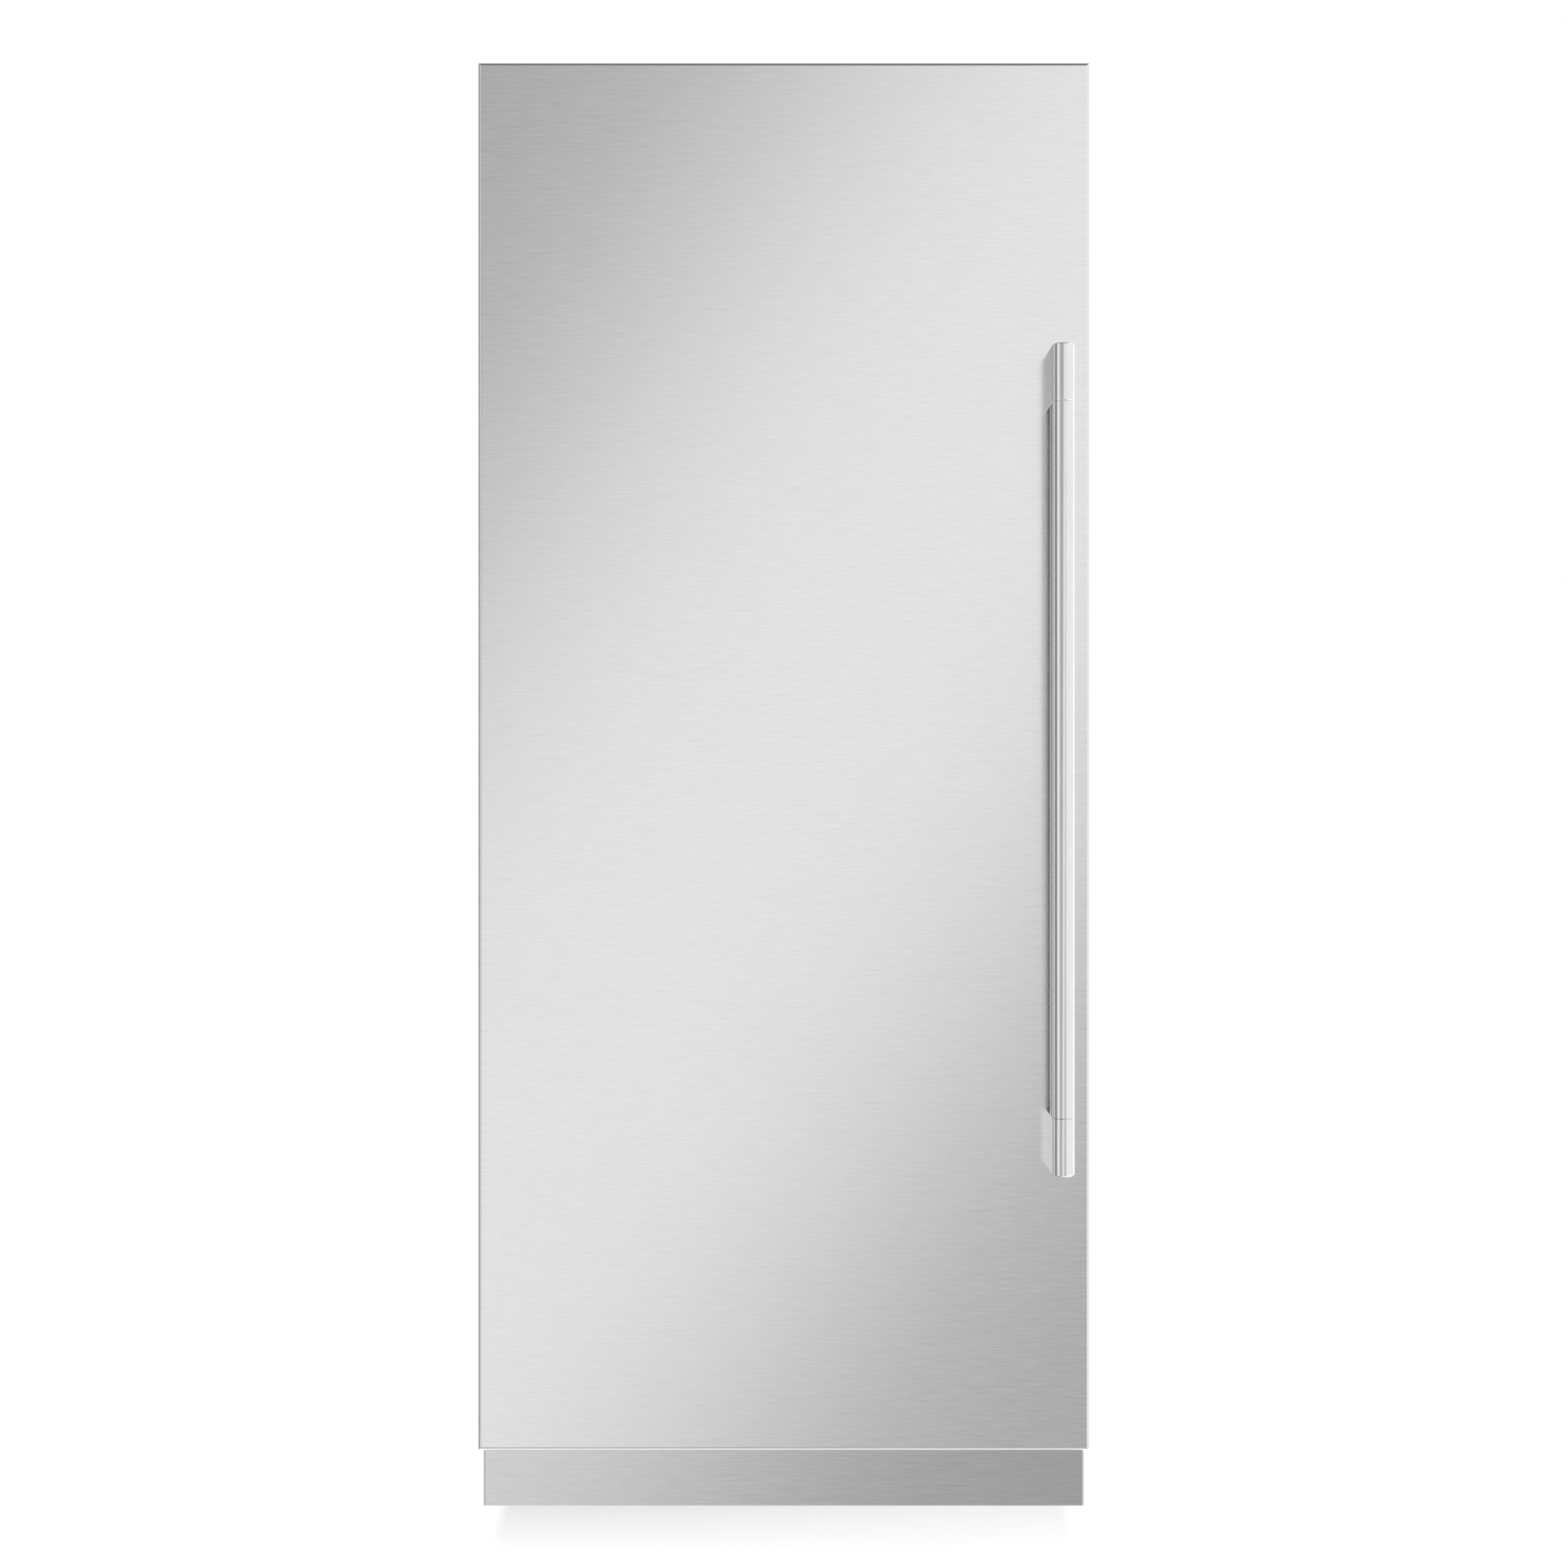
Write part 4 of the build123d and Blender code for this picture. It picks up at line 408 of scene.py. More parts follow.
def powderCoat(name, values):
    board = newFinish(name)
    peel = board.noise(**values["peel"])
    patch = board.noise(**values["patch"])
    share = board.ramp(board.weigh(patch, peel, values["patchShare"]), values["fadeStops"])
    return board.finish({
        "Base Color": board.blend(share, values["faded"], values["colour"]),
        "Roughness": values["roughness"] + peel * values["roughnessSpread"],
        "Normal": board.relief(peel, values["bump"], values["bumpDepth"]),
    })


dressSlot("case_grey", powderCoat("case_powder_coat", coat))

# Zinc plate with its crystals
zinc = {
    "light": (0.66, 0.68, 0.70, 1.0),
    "dark": (0.50, 0.52, 0.55, 1.0),
    "crystals": 110.0,
    "haze": {"scale": 14.0, "detail": 4.0, "roughness": 0.6},
    "crystalShare": 0.6,
    "metallic": 0.9,
    "roughness": 0.30,
    "roughnessSpread": 0.16,
    "bump": 0.08,
    "bumpDepth": 0.0003,
}


def zincPlate(name, values):
    board = newFinish(name)
    crystal = board.axes(board.cells(values["crystals"], output=1))[0]
    haze = board.noise(**values["haze"])
    tone = board.weigh(crystal, haze, values["crystalShare"])
    return board.finish({
        "Base Color": board.blend(tone, values["dark"], values["light"]),
        "Metallic": values["metallic"],
        "Roughness": values["roughness"] + crystal * values["roughnessSpread"],
        "Normal": board.relief(crystal + haze, values["bump"], values["bumpDepth"]),
    })


dressSlot("frame_zinc", zincPlate("zinc_plate", zinc))

# Ground steel of the pins and wires, with fine turning rings
ground = {
    "light": (0.68, 0.68, 0.69, 1.0),
    "dark": (0.55, 0.55, 0.56, 1.0),
    "ring": {"scale": 1.0, "stretch": (90.0, 90.0, 2200.0), "detail": 2.0},
    "rub": {"scale": 60.0, "detail": 3.0},
    "ringShare": 0.5,
    "roughness": 0.2,
    "roughnessSpread": 0.12,
    "bump": 0.08,
    "bumpDepth": 0.0001,
}


def groundSteel(name, values):
    board = newFinish(name)
    ring = board.noise(**values["ring"])
    rub = board.noise(**values["rub"])
    tone = board.weigh(ring, rub, values["ringShare"])
    return board.finish({
        "Base Color": board.blend(tone, values["dark"], values["light"]),
        "Metallic": 1.0,
        "Roughness": values["roughness"] + rub * values["roughnessSpread"],
        "Normal": board.relief(ring, values["bump"], values["bumpDepth"]),
    })


dressSlot("pin_steel", groundSteel("ground_steel", ground))

# Rigid insulating foam with closed cells and a glazed skin
foam = {
    "pale": (0.80, 0.70, 0.42, 1.0),
    "deep": (0.66, 0.54, 0.28, 1.0),
    "cells": 420.0,
    "flow": {"scale": 9.0, "detail": 5.0, "roughness": 0.6, "distortion": 0.8},
    "flowShare": 0.75,
    "roughness": 0.75,
    "roughnessSpread": 0.15,
    "bump": 0.45,
    "bumpDepth": 0.0012,
}


def rigidFoam(name, values):
    board = newFinish(name)
    cell = board.cells(values["cells"])
    flow = board.noise(**values["flow"])
    tone = board.weigh(flow, cell, values["flowShare"])
    return board.finish({
        "Base Color": board.blend(tone, values["deep"], values["pale"]),
        "Roughness": values["roughness"] + flow * values["roughnessSpread"],
        "Normal": board.relief(cell, values["bump"], values["bumpDepth"]),
    })


dressSlot("insulating_foam", rigidFoam("rigid_foam", foam))

# Pressed board behind the door's panel
pressed = {
    "pale": (0.52, 0.39, 0.24, 1.0),
    "deep": (0.33, 0.23, 0.13, 1.0),
    "chips": 160.0,
    "fibre": {"scale": 60.0, "stretch": (1.0, 1.0, 5.0), "detail": 6.0, "roughness": 0.7},
    "chipShare": 0.45,
    "roughness": 0.8,
    "roughnessSpread": 0.1,
    "bump": 0.3,
    "bumpDepth": 0.0005,
}


def pressedBoard(name, values):
    board = newFinish(name)
    chip = board.axes(board.cells(values["chips"], output=1))[1]
    fibre = board.noise(**values["fibre"])
    tone = board.weigh(chip, fibre, values["chipShare"])
    return board.finish({
        "Base Color": board.blend(tone, values["deep"], values["pale"]),
        "Roughness": values["roughness"] + fibre * values["roughnessSpread"],
        "Normal": board.relief(fibre + chip, values["bump"], values["bumpDepth"]),
    })


dressSlot("backing_board", pressedBoard("pressed_board", pressed))

# Moulded plastics: a slightly mottled colour and the fine texture of the mould
plastics = {
    "liner_white": {
        "colour": (0.86, 0.87, 0.875, 1.0), "shade": (0.81, 0.825, 0.835, 1.0), "texture": 900.0,
        "roughness": 0.26, "spread": 0.12, "bump": 0.10, "depth": 0.0003, "coat": 0.15,
    },
    "ice_white": {
        "colour": (0.84, 0.85, 0.86, 1.0), "shade": (0.78, 0.79, 0.80, 1.0), "texture": 1100.0,
        "roughness": 0.34, "spread": 0.14, "bump": 0.12, "depth": 0.0003, "coat": 0.0,
    },
    "valve_white": {
        "colour": (0.80, 0.79, 0.75, 1.0), "shade": (0.70, 0.69, 0.65, 1.0), "texture": 1300.0,
        "roughness": 0.4, "spread": 0.16, "bump": 0.16, "depth": 0.0004, "coat": 0.0,
    },
    "fascia_black": {
        "colour": (0.022, 0.022, 0.024, 1.0), "shade": (0.012, 0.012, 0.013, 1.0), "texture": 240.0,
        "roughness": 0.08, "spread": 0.10, "bump": 0.02, "depth": 0.0002, "coat": 0.3,
    },
    "fan_black": {
        "colour": (0.045, 0.045, 0.048, 1.0), "shade": (0.028, 0.028, 0.03, 1.0), "texture": 1000.0,
        "roughness": 0.42, "spread": 0.2, "bump": 0.2, "depth": 0.0004, "coat": 0.0,
    },
    "button_silver": {
        "colour": (0.60, 0.61, 0.62, 1.0), "shade": (0.50, 0.51, 0.52, 1.0), "texture": 2400.0,
        "roughness": 0.28, "spread": 0.12, "bump": 0.10, "depth": 0.0001, "coat": 0.1,
    },
}
moulding = {
    "textureDetail": 2.0,
    "mottleCoarseness": 60,
    "mottleDetail": 4.0,
    "mottleRoughness": 0.6,
    "mottleShare": 0.7,
    "textureSpreadShare": 0.6,
}


def mouldedPlastic(name, values, common):
    board = newFinish(name)
    texture = board.noise(values["texture"], detail=common["textureDetail"])
    mottle = board.noise(
        values["texture"] / common["mottleCoarseness"],
        detail=common["mottleDetail"], roughness=common["mottleRoughness"],
    )
    tone = board.weigh(mottle, texture, common["mottleShare"])
    spread = board.weigh(
        texture * values["spread"], mottle * values["spread"], common["textureSpreadShare"],
    )
    return board.finish({
        "Base Color": board.blend(tone, values["shade"], values["colour"]),
        "Roughness": values["roughness"] + spread,
        "Coat Weight": values["coat"],
        "Normal": board.relief(texture, values["bump"], values["depth"]),
    })


for slotName, plastic in plastics.items():
    dressSlot(slotName, mouldedPlastic("moulded_" + slotName, plastic, moulding))

# Soft rubbers: the magnetic seal and the compressor's mounts
rubbers = {
    "gasket_grey": {
        "colour": (0.42, 0.43, 0.44, 1.0), "shade": (0.33, 0.34, 0.35, 1.0), "bloom": 30.0,
        "pores": 1600.0, "roughness": 0.55,
    },
    "mount_rubber": {
        "colour": (0.035, 0.035, 0.036, 1.0), "shade": (0.02, 0.02, 0.021, 1.0), "bloom": 60.0,
        "pores": 1500.0, "roughness": 0.68,
    },
}
rubberSkin = {
    "pore": {"detail": 3.0, "roughness": 0.6},
    "bloom": {"detail": 4.0, "roughness": 0.65},
    "bloomSpread": 0.15,
    "poreSpread": 0.08,
    "bump": 0.2,
    "bumpDepth": 0.0003,
}


def softRubber(name, values, common):
    board = newFinish(name)
    pore = board.noise(values["pores"], **common["pore"])
    bloom = board.noise(values["bloom"], **common["bloom"])
    return board.finish({
        "Base Color": board.blend(bloom, values["shade"], values["colour"]),
        "Roughness": values["roughness"] + bloom * common["bloomSpread"] + pore * common["poreSpread"],
        "Normal": board.relief(pore, common["bump"], common["bumpDepth"]),
    })


for slotName, rubber in rubbers.items():
    dressSlot(slotName, softRubber("soft_" + slotName, rubber, rubberSkin))

# Clear moulded trays and tempered glass: faint haze and flow marks
clears = {
    "clear_plastic": {
        "colour": (0.93, 0.965, 0.975, 1.0), "haze": (0.86, 0.91, 0.93, 1.0), "flow": 8.0,
        "roughness": 0.04, "spread": 0.08, "index": 1.57, "through": 0.9,
    },
    "shelf_glass": {
        "colour": (0.90, 0.97, 0.95, 1.0), "haze": (0.84, 0.94, 0.91, 1.0), "flow": 3.0,
        "roughness": 0.0, "spread": 0.04, "index": 1.5, "through": 0.95,
    },
}
clearSkin = {
    "flow": {"detail": 3.0, "distortion": 0.6},
    "rubFineness": 60,
    "rub": {"detail": 4.0, "roughness": 0.7},
    "bump": 0.04,
    "bumpDepth": 0.001,
}


def clearSheet(name, values, common):
    board = newFinish(name)
    flow = board.noise(values["flow"], **common["flow"])
    rub = board.noise(values["flow"] * common["rubFineness"], **common["rub"])
    return board.finish({
        "Base Color": board.blend(flow, values["haze"], values["colour"]),
        "Roughness": values["roughness"] + rub * flow * values["spread"],
        "IOR": values["index"],
        "Transmission Weight": values["through"],
        "Normal": board.relief(flow, common["bump"], common["bumpDepth"]),
    })


for slotName, clear in clears.items():
    dressSlot(slotName, clearSheet("clear_" + slotName, clear, clearSkin))

# Aluminium: satin shelf trims, the cast ice mould and the rolled fins
aluminiums = {
    "shelf_metal": {
        "colour": (0.76, 0.77, 0.78, 1.0), "shade": (0.68, 0.69, 0.70, 1.0),
        "grain": (20.0, 420.0, 420.0), "roughness": 0.22, "spread": 0.14,
        "bump": 0.06, "depth": 0.0002,
    },
    "ice_mould_metal": {
        "colour": (0.60, 0.60, 0.61, 1.0), "shade": (0.46, 0.46, 0.47, 1.0),
        "grain": (260.0, 260.0, 260.0), "roughness": 0.38, "spread": 0.2,
        "bump": 0.3, "depth": 0.0005,
    },
    "fin_aluminium": {
        "colour": (0.78, 0.79, 0.80, 1.0), "shade": (0.62, 0.63, 0.65, 1.0),
        "grain": (30.0, 160.0, 8.0), "roughness": 0.25, "spread": 0.2,
        "bump": 0.12, "depth": 0.0003,
    },
}
metalSkin = {
    "grain": {"scale": 1.0, "detail": 4.0, "roughness": 0.6},
    "haze": {"scale": 12.0, "detail": 4.0, "roughness": 0.6},
    "grainShare": 0.6,
}


def workedAluminium(name, values, common):
    board = newFinish(name)
    grain = board.noise(stretch=values["grain"], **common["grain"])
    haze = board.noise(**common["haze"])
    tone = board.weigh(grain, haze, common["grainShare"])
    return board.finish({
        "Base Color": board.blend(tone, values["shade"], values["colour"]),
        "Metallic": 1.0,
        "Roughness": values["roughness"] + grain * values["spread"],
        "Normal": board.relief(grain, values["bump"], values["depth"]),
    })


for slotName, aluminium in aluminiums.items():
    dressSlot(slotName, workedAluminium("worked_" + slotName, aluminium, metalSkin))

# Opal lens of the light bars, brighter over each diode
lens = {
    "colour": (0.92, 0.93, 0.92, 1.0),
    "between": (0.80, 0.82, 0.84, 1.0),
    "over": (1.0, 0.99, 0.96, 1.0),
    "diodePitch": 0.022,
    "glow": 0.9,
    "frost": {"scale": 700.0, "detail": 3.0},
    "roughness": 0.35,
    "roughnessSpread": 0.2,
    "bump": 0.1,
    "bumpDepth": 0.0003,
}


def opalLens(name, values):
    board = newFinish(name)
    across, back, up = board.axes(board.ownPlace())
    wave = board.maths("SINE", up * (2 * math.pi / values["diodePitch"]), 0.0)
    diode = wave * 0.5 + 0.5
    frost = board.noise(**values["frost"])
    return board.finish({
        "Base Color": board.blend(frost, values["between"], values["colour"]),
        "Roughness": values["roughness"] + frost * values["roughnessSpread"],
        "Emission Color": board.blend(diode, values["between"], values["over"]),
        "Emission Strength": values["glow"],
        "Normal": board.relief(frost, values["bump"], values["bumpDepth"]),
    })


dressSlot("lamp_lens", opalLens("opal_lens", lens))

# Painted machine parts: black coil and shell, grey motors, with dust on what looks up
paints = {
    "coil_black": {
        "colour": (0.030, 0.030, 0.032, 1.0), "dust": (0.12, 0.115, 0.105, 1.0),
        "roughness": 0.34, "peel": 500.0,
    },
    "motor_grey": {
        "colour": (0.30, 0.31, 0.33, 1.0), "dust": (0.36, 0.355, 0.34, 1.0),
        "roughness": 0.4, "peel": 700.0,
    },
}
dusting = {
    "peelDetail": 3.0,
    "speckle": {"scale": 45.0, "detail": 6.0, "roughness": 0.75},
    "speckleShare": 0.2,
    "stops": [(0.12, 0.0), (0.62, 0.8)],
    "dustSpread": 0.35,
    "peelSpread": 0.1,
    "bump": 0.14,
    "bumpDepth": 0.0004,
}


def machinePaint(name, values, common):
    board = newFinish(name)
    across, back, up = board.axes(board.add("ShaderNodeNewGeometry", {}, {}, output=1))
    peel = board.noise(values["peel"], detail=common["peelDetail"])
    speckle = board.noise(**common["speckle"])
    topside = board.maths("MULTIPLY", up, speckle, clamp=True)
    dusty = board.ramp(topside + speckle * common["speckleShare"], common["stops"])
    return board.finish({
        "Base Color": board.blend(dusty, values["colour"], values["dust"]),
        "Roughness": values["roughness"] + dusty * common["dustSpread"] + peel * common["peelSpread"],
        "Normal": board.relief(peel, common["bump"], common["bumpDepth"]),
    })


for slotName, paint in paints.items():
    dressSlot(slotName, machinePaint("painted_" + slotName, paint, dusting))

# Drawn copper with its browned patches
copper = {
    "bright": (0.80, 0.44, 0.28, 1.0),
    "brown": (0.42, 0.20, 0.12, 1.0),
    "patch": {"scale": 28.0, "detail": 5.0, "roughness": 0.7, "distortion": 0.5},
    "drawLines": {"scale": 900.0, "detail": 2.0},
    "brownStops": [(0.42, 0.0), (0.70, 0.85)],
    "roughness": 0.24,
    "brownSpread": 0.3,
    "lineSpread": 0.1,
    "bump": 0.1,
    "bumpDepth": 0.0002,
}


def drawnCopper(name, values):
    board = newFinish(name)
    patch = board.noise(**values["patch"])
    line = board.noise(**values["drawLines"])
    browned = board.ramp(patch, values["brownStops"])
    return board.finish({
        "Base Color": board.blend(browned, values["bright"], values["brown"]),
        "Metallic": 1.0,
        "Roughness": values["roughness"] + browned * values["brownSpread"] + line * values["lineSpread"],
        "Normal": board.relief(line, values["bump"], values["bumpDepth"]),
    })


dressSlot("line_copper", drawnCopper("drawn_copper", copper))
print("finishes made:", len(finishes))

# Modelling by hand: every start is deselected first, and a piece's place ends up in its mesh
smoothAngle = math.radians(35)
facingShare = 0.9  # how squarely a face has to look one way to be chosen


def deselectAll():
    bpy.ops.object.select_all(action="DESELECT")


def pick(piece):
    deselectAll()
    piece.select_set(True)
    bpy.context.view_layer.objects.active = piece


def applyPlace():
    bpy.ops.object.transform_apply(location=True, rotation=True, scale=True)


def addBlock(name, low, high):
    deselectAll()
    middle = [(start + end) / 2 for start, end in zip(low, high)]
    bpy.ops.mesh.primitive_cube_add(size=1.0, location=middle)
    block = bpy.context.object
    block.name = name
    block.scale = [end - start for start, end in zip(low, high)]
    applyPlace()
    return block


def startEdit(piece, part):
    # Edit mode on faces or edges with nothing selected
    pick(piece)
    bpy.ops.object.mode_set(mode="EDIT")
    bpy.ops.mesh.select_mode(type=part)
    bpy.ops.mesh.select_all(action="DESELECT")
    bpy.ops.object.mode_set(mode="OBJECT")


def leaveEdit():
    bpy.ops.object.mode_set(mode="OBJECT")


def editFaces(piece, direction):
    # Edit mode with only the faces that look one way selected
    startEdit(piece, "FACE")
    for face in piece.data.polygons:
        face.select = face.normal.dot(Vector(direction)) > facingShare
    bpy.ops.object.mode_set(mode="EDIT")


def bevelEdges(piece, chosen, radius, steps):
    # Rounds the edges whose two ends pass a test
    startEdit(piece, "EDGE")
    points = piece.data.vertices
    for edge in piece.data.edges:
        edge.select = all(chosen(points[end].co) for end in edge.vertices)
    bpy.ops.object.mode_set(mode="EDIT")
    bpy.ops.mesh.bevel(offset=radius, segments=steps, affect="EDGES")
    leaveEdit()


def pushFaces(shift):
    bpy.ops.mesh.extrude_region_move(TRANSFORM_OT_translate={"value": shift})


def applyModifier(piece, kind, settings):
    pick(piece)
    modifier = piece.modifiers.new(kind.lower(), kind)
    for name, value in settings.items():
        setattr(modifier, name, value)
    bpy.ops.object.modifier_apply(modifier=modifier.name)


def cutAway(piece, cutter):
    # Takes one piece's room out of another and drops the first
    applyModifier(piece, "BOOLEAN", {"operation": "DIFFERENCE", "object": cutter, "solver": "EXACT"})
    bpy.data.objects.remove(cutter)


def roundEdges(piece, width):
    applyModifier(piece, "BEVEL", {"width": width, "segments": 2, "limit_method": "ANGLE"})
    bpy.ops.object.shade_smooth_by_angle(angle=smoothAngle)


def copyPiece(piece, name, shift):
    pick(piece)
    bpy.ops.object.duplicate(linked=False)
    twin = bpy.context.object
    twin.name = name
    bpy.ops.transform.translate(value=shift)
    applyPlace()
    return twin


def mountPiece(piece, body, slotName, material=None):
    piece.data.materials.clear()
    piece.data.materials.append(material or finishes[slotName])
    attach(piece, body)


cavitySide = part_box("light_bars")[1].x

# Satin metal caps on the top edges of the drawer fronts
drawerCap = {
    "bodies": ("lower_drawer", "middle_drawer", "upper_drawer"),
    "frontThickness": 0.012,
    "sideGap": 0.0455,
    "sheet": 0.0011,
    "lip": 0.013,
    "clearance": 0.00015,
    "edge": 0.0004,
}


def capDrawers(values):
    wall = values["sheet"] + values["clearance"]
    side = cavitySide - values["sideGap"]
    low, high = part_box("drawer_1")
    cap = addBlock(
        "drawer_cap_1",
        (-side, low.y - wall, high.z - values["lip"]),
        (side, low.y + values["frontThickness"] + wall, high.z + wall),
    )
    editFaces(cap, (0, 0, -1))
    bpy.ops.mesh.inset(thickness=values["sheet"])
    pushFaces((0, 0, values["lip"] + values["clearance"]))
    leaveEdit()
    roundEdges(cap, values["edge"])
    caps = [cap]
    for number in (2, 3):
        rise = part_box(f"drawer_{number}")[1].z - high.z
        caps.append(copyPiece(cap, f"drawer_cap_{number}", (0, 0, rise)))
    for piece, body in zip(caps, values["bodies"]):
        mountPiece(piece, body, "shelf_metal")


capDrawers(drawerCap)

# Satin metal rails across the fronts of the door bins, held off the corners
binRail = {
    "sideGap": 0.066,
    "drop": 0.012,
    "height": 0.016,
    "thickness": 0.0016,
    "groove": 0.004,
    "grooveDepth": 0.0006,
    "edge": 0.0004,
}


def railBins(values):
    side = cavitySide - values["sideGap"]
    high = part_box("door_bin_1")[1]
    top = high.z - values["drop"]
    rail = addBlock(
        "bin_rail_1",
        (-side, high.y, top - values["height"]),
        (side, high.y + values["thickness"], top),
    )
    editFaces(rail, (0, 1, 0))
    bpy.ops.mesh.inset(thickness=values["groove"])
    pushFaces((0, -values["grooveDepth"], 0))
    leaveEdit()
    roundEdges(rail, values["edge"])
    rails = [rail]
    for number in (2, 3):
        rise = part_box(f"door_bin_{number}")[1].z - high.z
        rails.append(copyPiece(rail, f"bin_rail_{number}", (0, 0, rise)))
    for piece in rails:
        mountPiece(piece, "door", "shelf_metal")


railBins(binRail)

# Moulded liner skin in front of the step over the compressor, where the foam would show bare
stepSkin = {
    "floor": 0.218,
    "top": 0.418,
    "shelfFront": 0.0655,
    "shelfDepth": 0.004,
    "thickness": 0.002,
    "cornerRadius": 0.012,
    "cornerSteps": 5,
    "foldRadius": 0.0028,
    "foldSteps": 4,
}


def skinStep(values):
    wall = values["thickness"]
    floor = values["floor"]
    top = values["top"]
    front = values["shelfFront"] - values["shelfDepth"]
    skin = addBlock("step_skin", (-cavitySide, front, floor), (cavitySide, values["shelfFront"], top))
    for side in (-1, 1):
        bevelEdges(
            skin, lambda point: point.x * side > 0 and point.z < floor + wall,
            values["cornerRadius"], values["cornerSteps"],
        )
    bevelEdges(
        skin, lambda point: point.y < front + wall / 2 and point.z > top - wall / 2,
        values["foldRadius"], values["foldSteps"],
    )
    foamRoom = addBlock(
        "foam_room",
        (-2 * cavitySide, front + wall, 0),
        (2 * cavitySide, values["shelfFront"] + wall, top - wall),
    )
    cutAway(skin, foamRoom)
    pick(skin)
    bpy.ops.object.shade_smooth_by_angle(angle=smoothAngle)
    mountPiece(skin, "cabinet", "liner_white")


skinStep(stepSkin)

# Magnetic seal of the door: a skin with a bellows fold on each side of the magnet's bulb.
# Every fold step is a width and a rise.
seal = {
    "cornerRadius": 0.038,
    "cornerSteps": 6,
    "footLift": 0.0002,
    "foldSteps": [
        (0.001, 0.0022), (0.002, 0.0004), (0.0008, 0.0026),
        (0.0012, -0.0008), (0.001, 0.0028), (0.0015, 0.0002),
    ],
    "magnetWidth": 0.005,
    "skin": 0.0006,
    "edge": 0.0002,
}


def foldSeal(values):
    low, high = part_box("door_gasket")
    deselectAll()
    bpy.ops.mesh.primitive_plane_add(
        size=1.0, rotation=(math.radians(-90), 0, 0),
        location=(0, low.y + values["footLift"], (low.z + high.z) / 2),
    )
    skin = bpy.context.object
    skin.name = "folded_door_seal"
    skin.scale = (high.x - low.x, high.z - low.z, 1.0)
    applyPlace()
    bpy.ops.object.mode_set(mode="EDIT")
    bpy.ops.mesh.bevel(
        offset=values["cornerRadius"], segments=values["cornerSteps"], affect="VERTICES",
    )
    bpy.ops.mesh.select_all(action="SELECT")
    across = values["foldSteps"] + [(values["magnetWidth"], 0.0)]
    across += [(width, -rise) for width, rise in reversed(values["foldSteps"])]
    for width, rise in across:
        bpy.ops.mesh.inset(thickness=width)
        bpy.ops.transform.translate(value=(0, rise, 0))
    bpy.ops.mesh.delete(type="FACE")
    leaveEdit()
    applyModifier(skin, "SOLIDIFY", {"thickness": values["skin"], "offset": -1.0})
    roundEdges(skin, values["edge"])
    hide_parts("door_gasket")
    mountPiece(skin, "door", "gasket_grey")


foldSeal(seal)

# Dark pane of the display in the control panel
pane = {
    "gap": 0.0004,
    "width": 0.096,
    "height": 0.018,
    "depth": 0.0012,
    "edge": 0.0003,
    "colour": (0.010, 0.014, 0.018, 1.0),
    "glare": (0.03, 0.04, 0.05, 1.0),
    "smear": {"scale": 60.0, "detail": 4.0, "roughness": 0.6, "distortion": 0.8},
    "roughness": 0.03,
    "roughnessSpread": 0.06,
    "coat": 0.5,
    "bump": 0.03,
    "bumpDepth": 0.0002,
}


def displayGlass(name, values):
    board = newFinish(name)
    smear = board.noise(**values["smear"])
    return board.finish({
        "Base Color": board.blend(smear, values["colour"], values["glare"]),
        "Roughness": values["roughness"] + smear * values["roughnessSpread"],
        "Coat Weight": values["coat"],
        "Normal": board.relief(smear, values["bump"], values["bumpDepth"]),
    })


def glazeDisplay(values):
    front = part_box("control_panel")[0].y
    low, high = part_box("button_power")
    middle = (low.z + high.z) / 2
    reach = values["width"] / 2 - values["gap"]
    rise = values["height"] / 2 - values["gap"]
    glass = addBlock(
        "display_pane",
        (-reach, front + values["gap"], middle - rise),
        (reach, front + values["depth"], middle + rise),
    )
    editFaces(glass, (0, -1, 0))
    bpy.ops.mesh.inset(thickness=values["gap"] * 2)
    leaveEdit()
    roundEdges(glass, values["edge"])
    mountPiece(glass, "cabinet", "fascia_black", displayGlass("display_glass", values))


glazeDisplay(pane)

# Pan-head screws with a cross recess, in the air duct's cover, the shelf ladders and the top cover
screw = {
    "radius": 0.0042,
    "head": 0.0019,
    "sides": 20,
    "dome": 0.0009,
    "domeSteps": 3,
    "slotLong": 0.0046,
    "slotWide": 0.0009,
    "slotDeep": 0.0011,
    "seat": 0.0002,
}
coverScrews = {"sideGap": 0.02, "shares": (0.03, 0.36, 0.69, 0.985)}
ladderScrews = {"end": 0.012, "middle": 0.009, "thickness": 0.004}
topScrews = {"sideGap": 0.07, "sideShare": 0.34, "frontGap": 0.03}


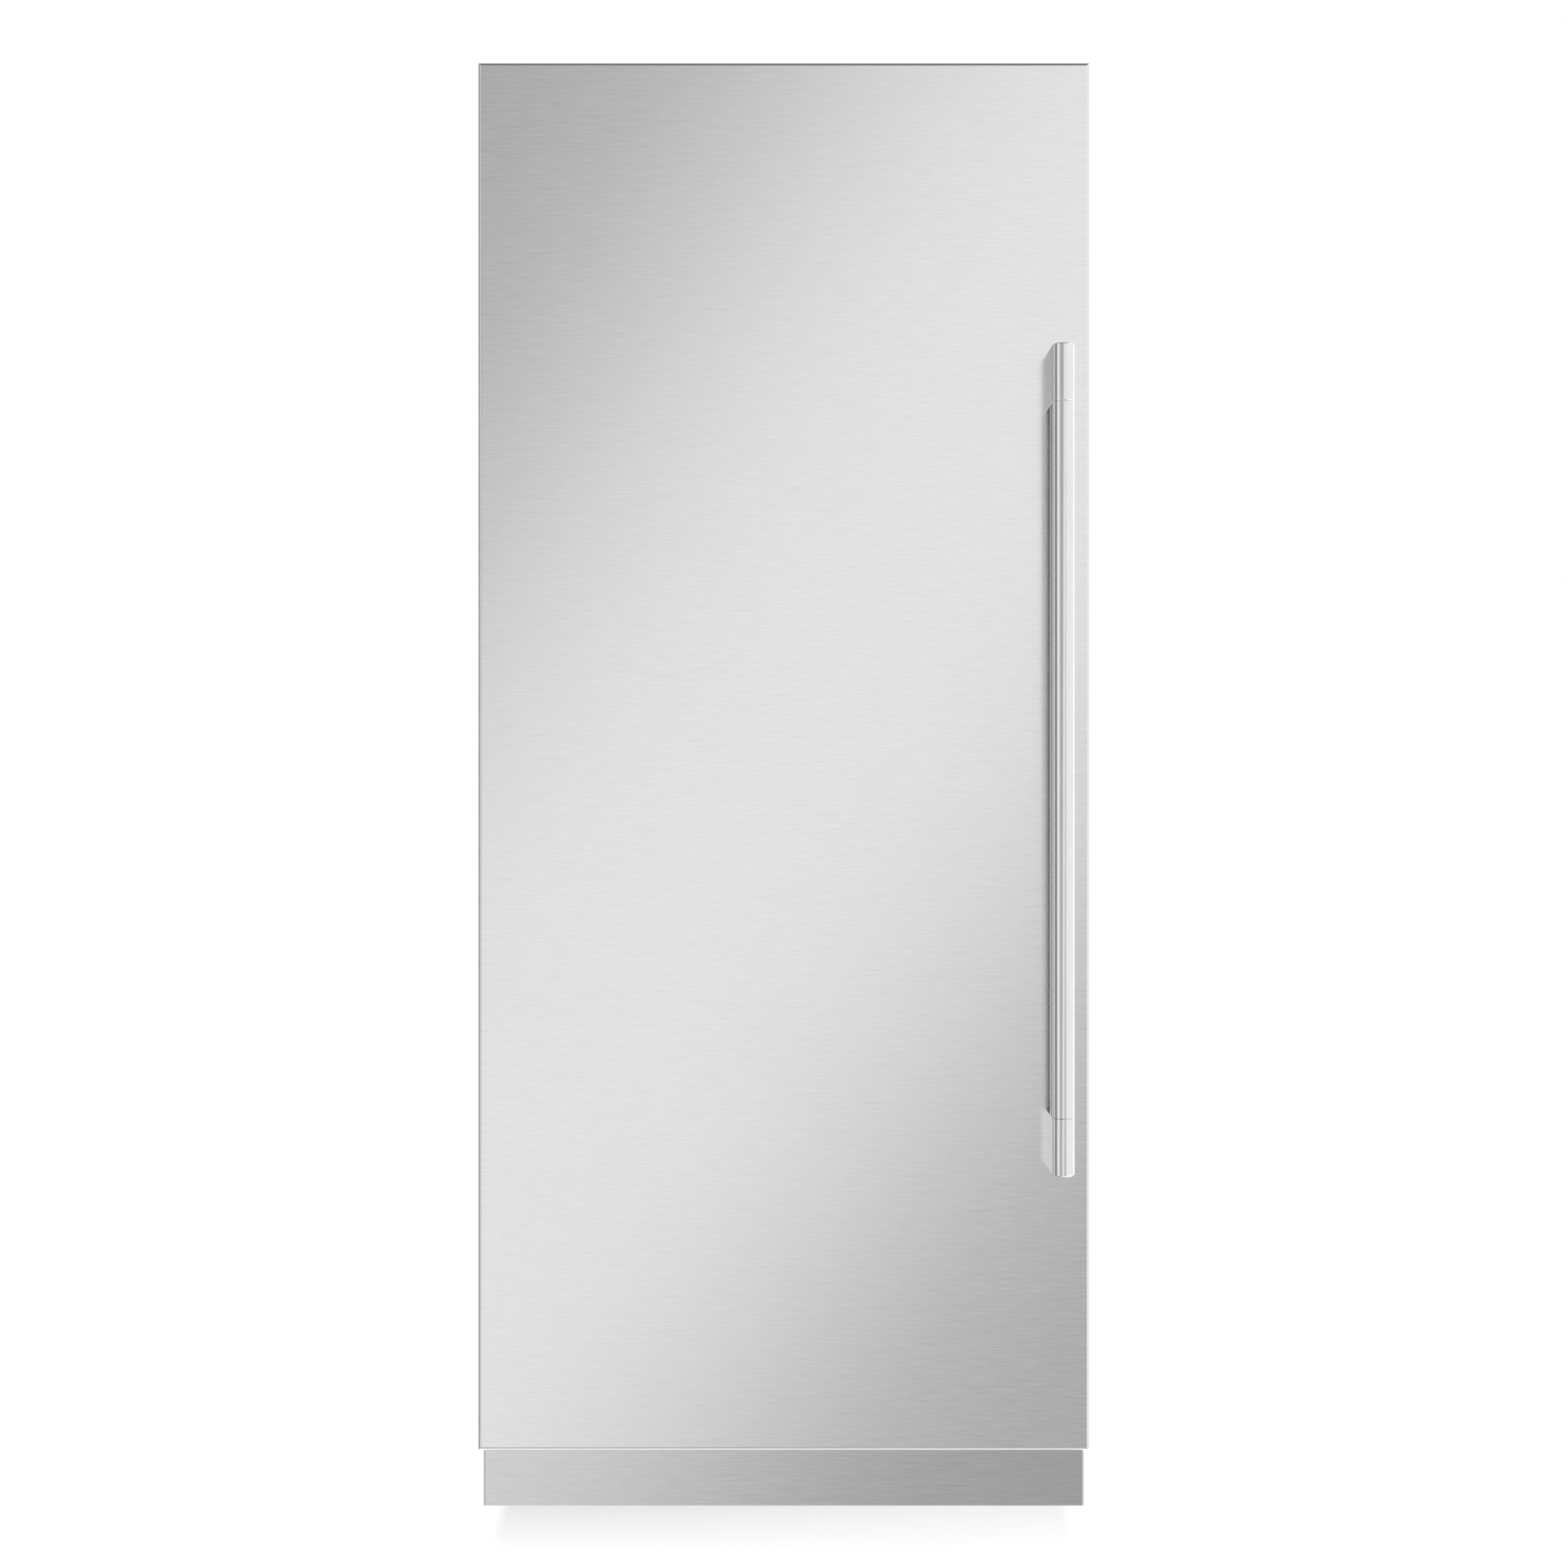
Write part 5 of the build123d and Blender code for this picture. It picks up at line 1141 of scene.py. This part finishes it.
def turnScrew(values):
    # One screw that stands on the origin and looks up
    deselectAll()
    bpy.ops.mesh.primitive_cylinder_add(
        vertices=values["sides"], radius=values["radius"], depth=values["head"] + values["seat"],
        location=(0, 0, (values["head"] - values["seat"]) / 2),
    )
    head = bpy.context.object
    applyPlace()
    editFaces(head, (0, 0, 1))
    bpy.ops.mesh.bevel(offset=values["dome"], segments=values["domeSteps"])
    leaveEdit()
    arms = (values["slotLong"], values["slotWide"])
    for along, across in (arms, arms[::-1]):
        recess = addBlock(
            "recess",
            (-along / 2, -across / 2, values["head"] - values["slotDeep"]),
            (along / 2, across / 2, 2 * values["head"]),
        )
        cutAway(head, recess)
    bpy.ops.object.shade_smooth_by_angle(angle=smoothAngle)
    return head


def driveScrews(name, head, places, turn=(0, 0, 0)):
    # Copies of the screw at all their places, joined into one piece
    heads = []
    for place in places:
        pick(head)
        bpy.ops.object.duplicate(linked=False)
        twin = bpy.context.object
        twin.rotation_euler = turn
        twin.location = place
        heads.append(twin)
    deselectAll()
    for twin in heads:
        twin.select_set(True)
    bpy.context.view_layer.objects.active = heads[0]
    bpy.ops.object.join()
    row = bpy.context.object
    row.name = name
    applyPlace()
    mountPiece(row, "cabinet", "pin_steel")


def fitScrews(head):
    quarter = math.radians(90)
    low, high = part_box("evaporator_cover")
    side = high.x - coverScrews["sideGap"]
    heights = [low.z + share * (high.z - low.z) for share in coverScrews["shares"]]
    places = [(x, low.y, z) for x in (-side, side) for z in heights]
    driveScrews("duct_cover_screws", head, places, (quarter, 0, 0))
    low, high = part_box("shelf_ladders")
    ends = (low.z + ladderScrews["end"], high.z - ladderScrews["end"])
    middles = (low.y + ladderScrews["middle"], high.y - ladderScrews["middle"])
    inner = high.x - ladderScrews["thickness"]
    for name, side in (("right", 1), ("left", -1)):
        places = [(side * inner, y, z) for y in middles for z in ends]
        driveScrews(f"ladder_screws_{name}", head, places, (0, -side * quarter, 0))
    low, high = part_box("top_cover")
    side = high.x - topScrews["sideGap"]
    inward = side * topScrews["sideShare"]
    depths = (low.y + topScrews["frontGap"], high.y - topScrews["frontGap"])
    places = [(x, y, high.z) for x in (-side, -inward, inward, side) for y in depths]
    driveScrews("top_cover_screws", head, places)
    bpy.data.objects.remove(head)


fitScrews(turnScrew(screw))
print("trims, liner skin, seal, display and screws fitted")
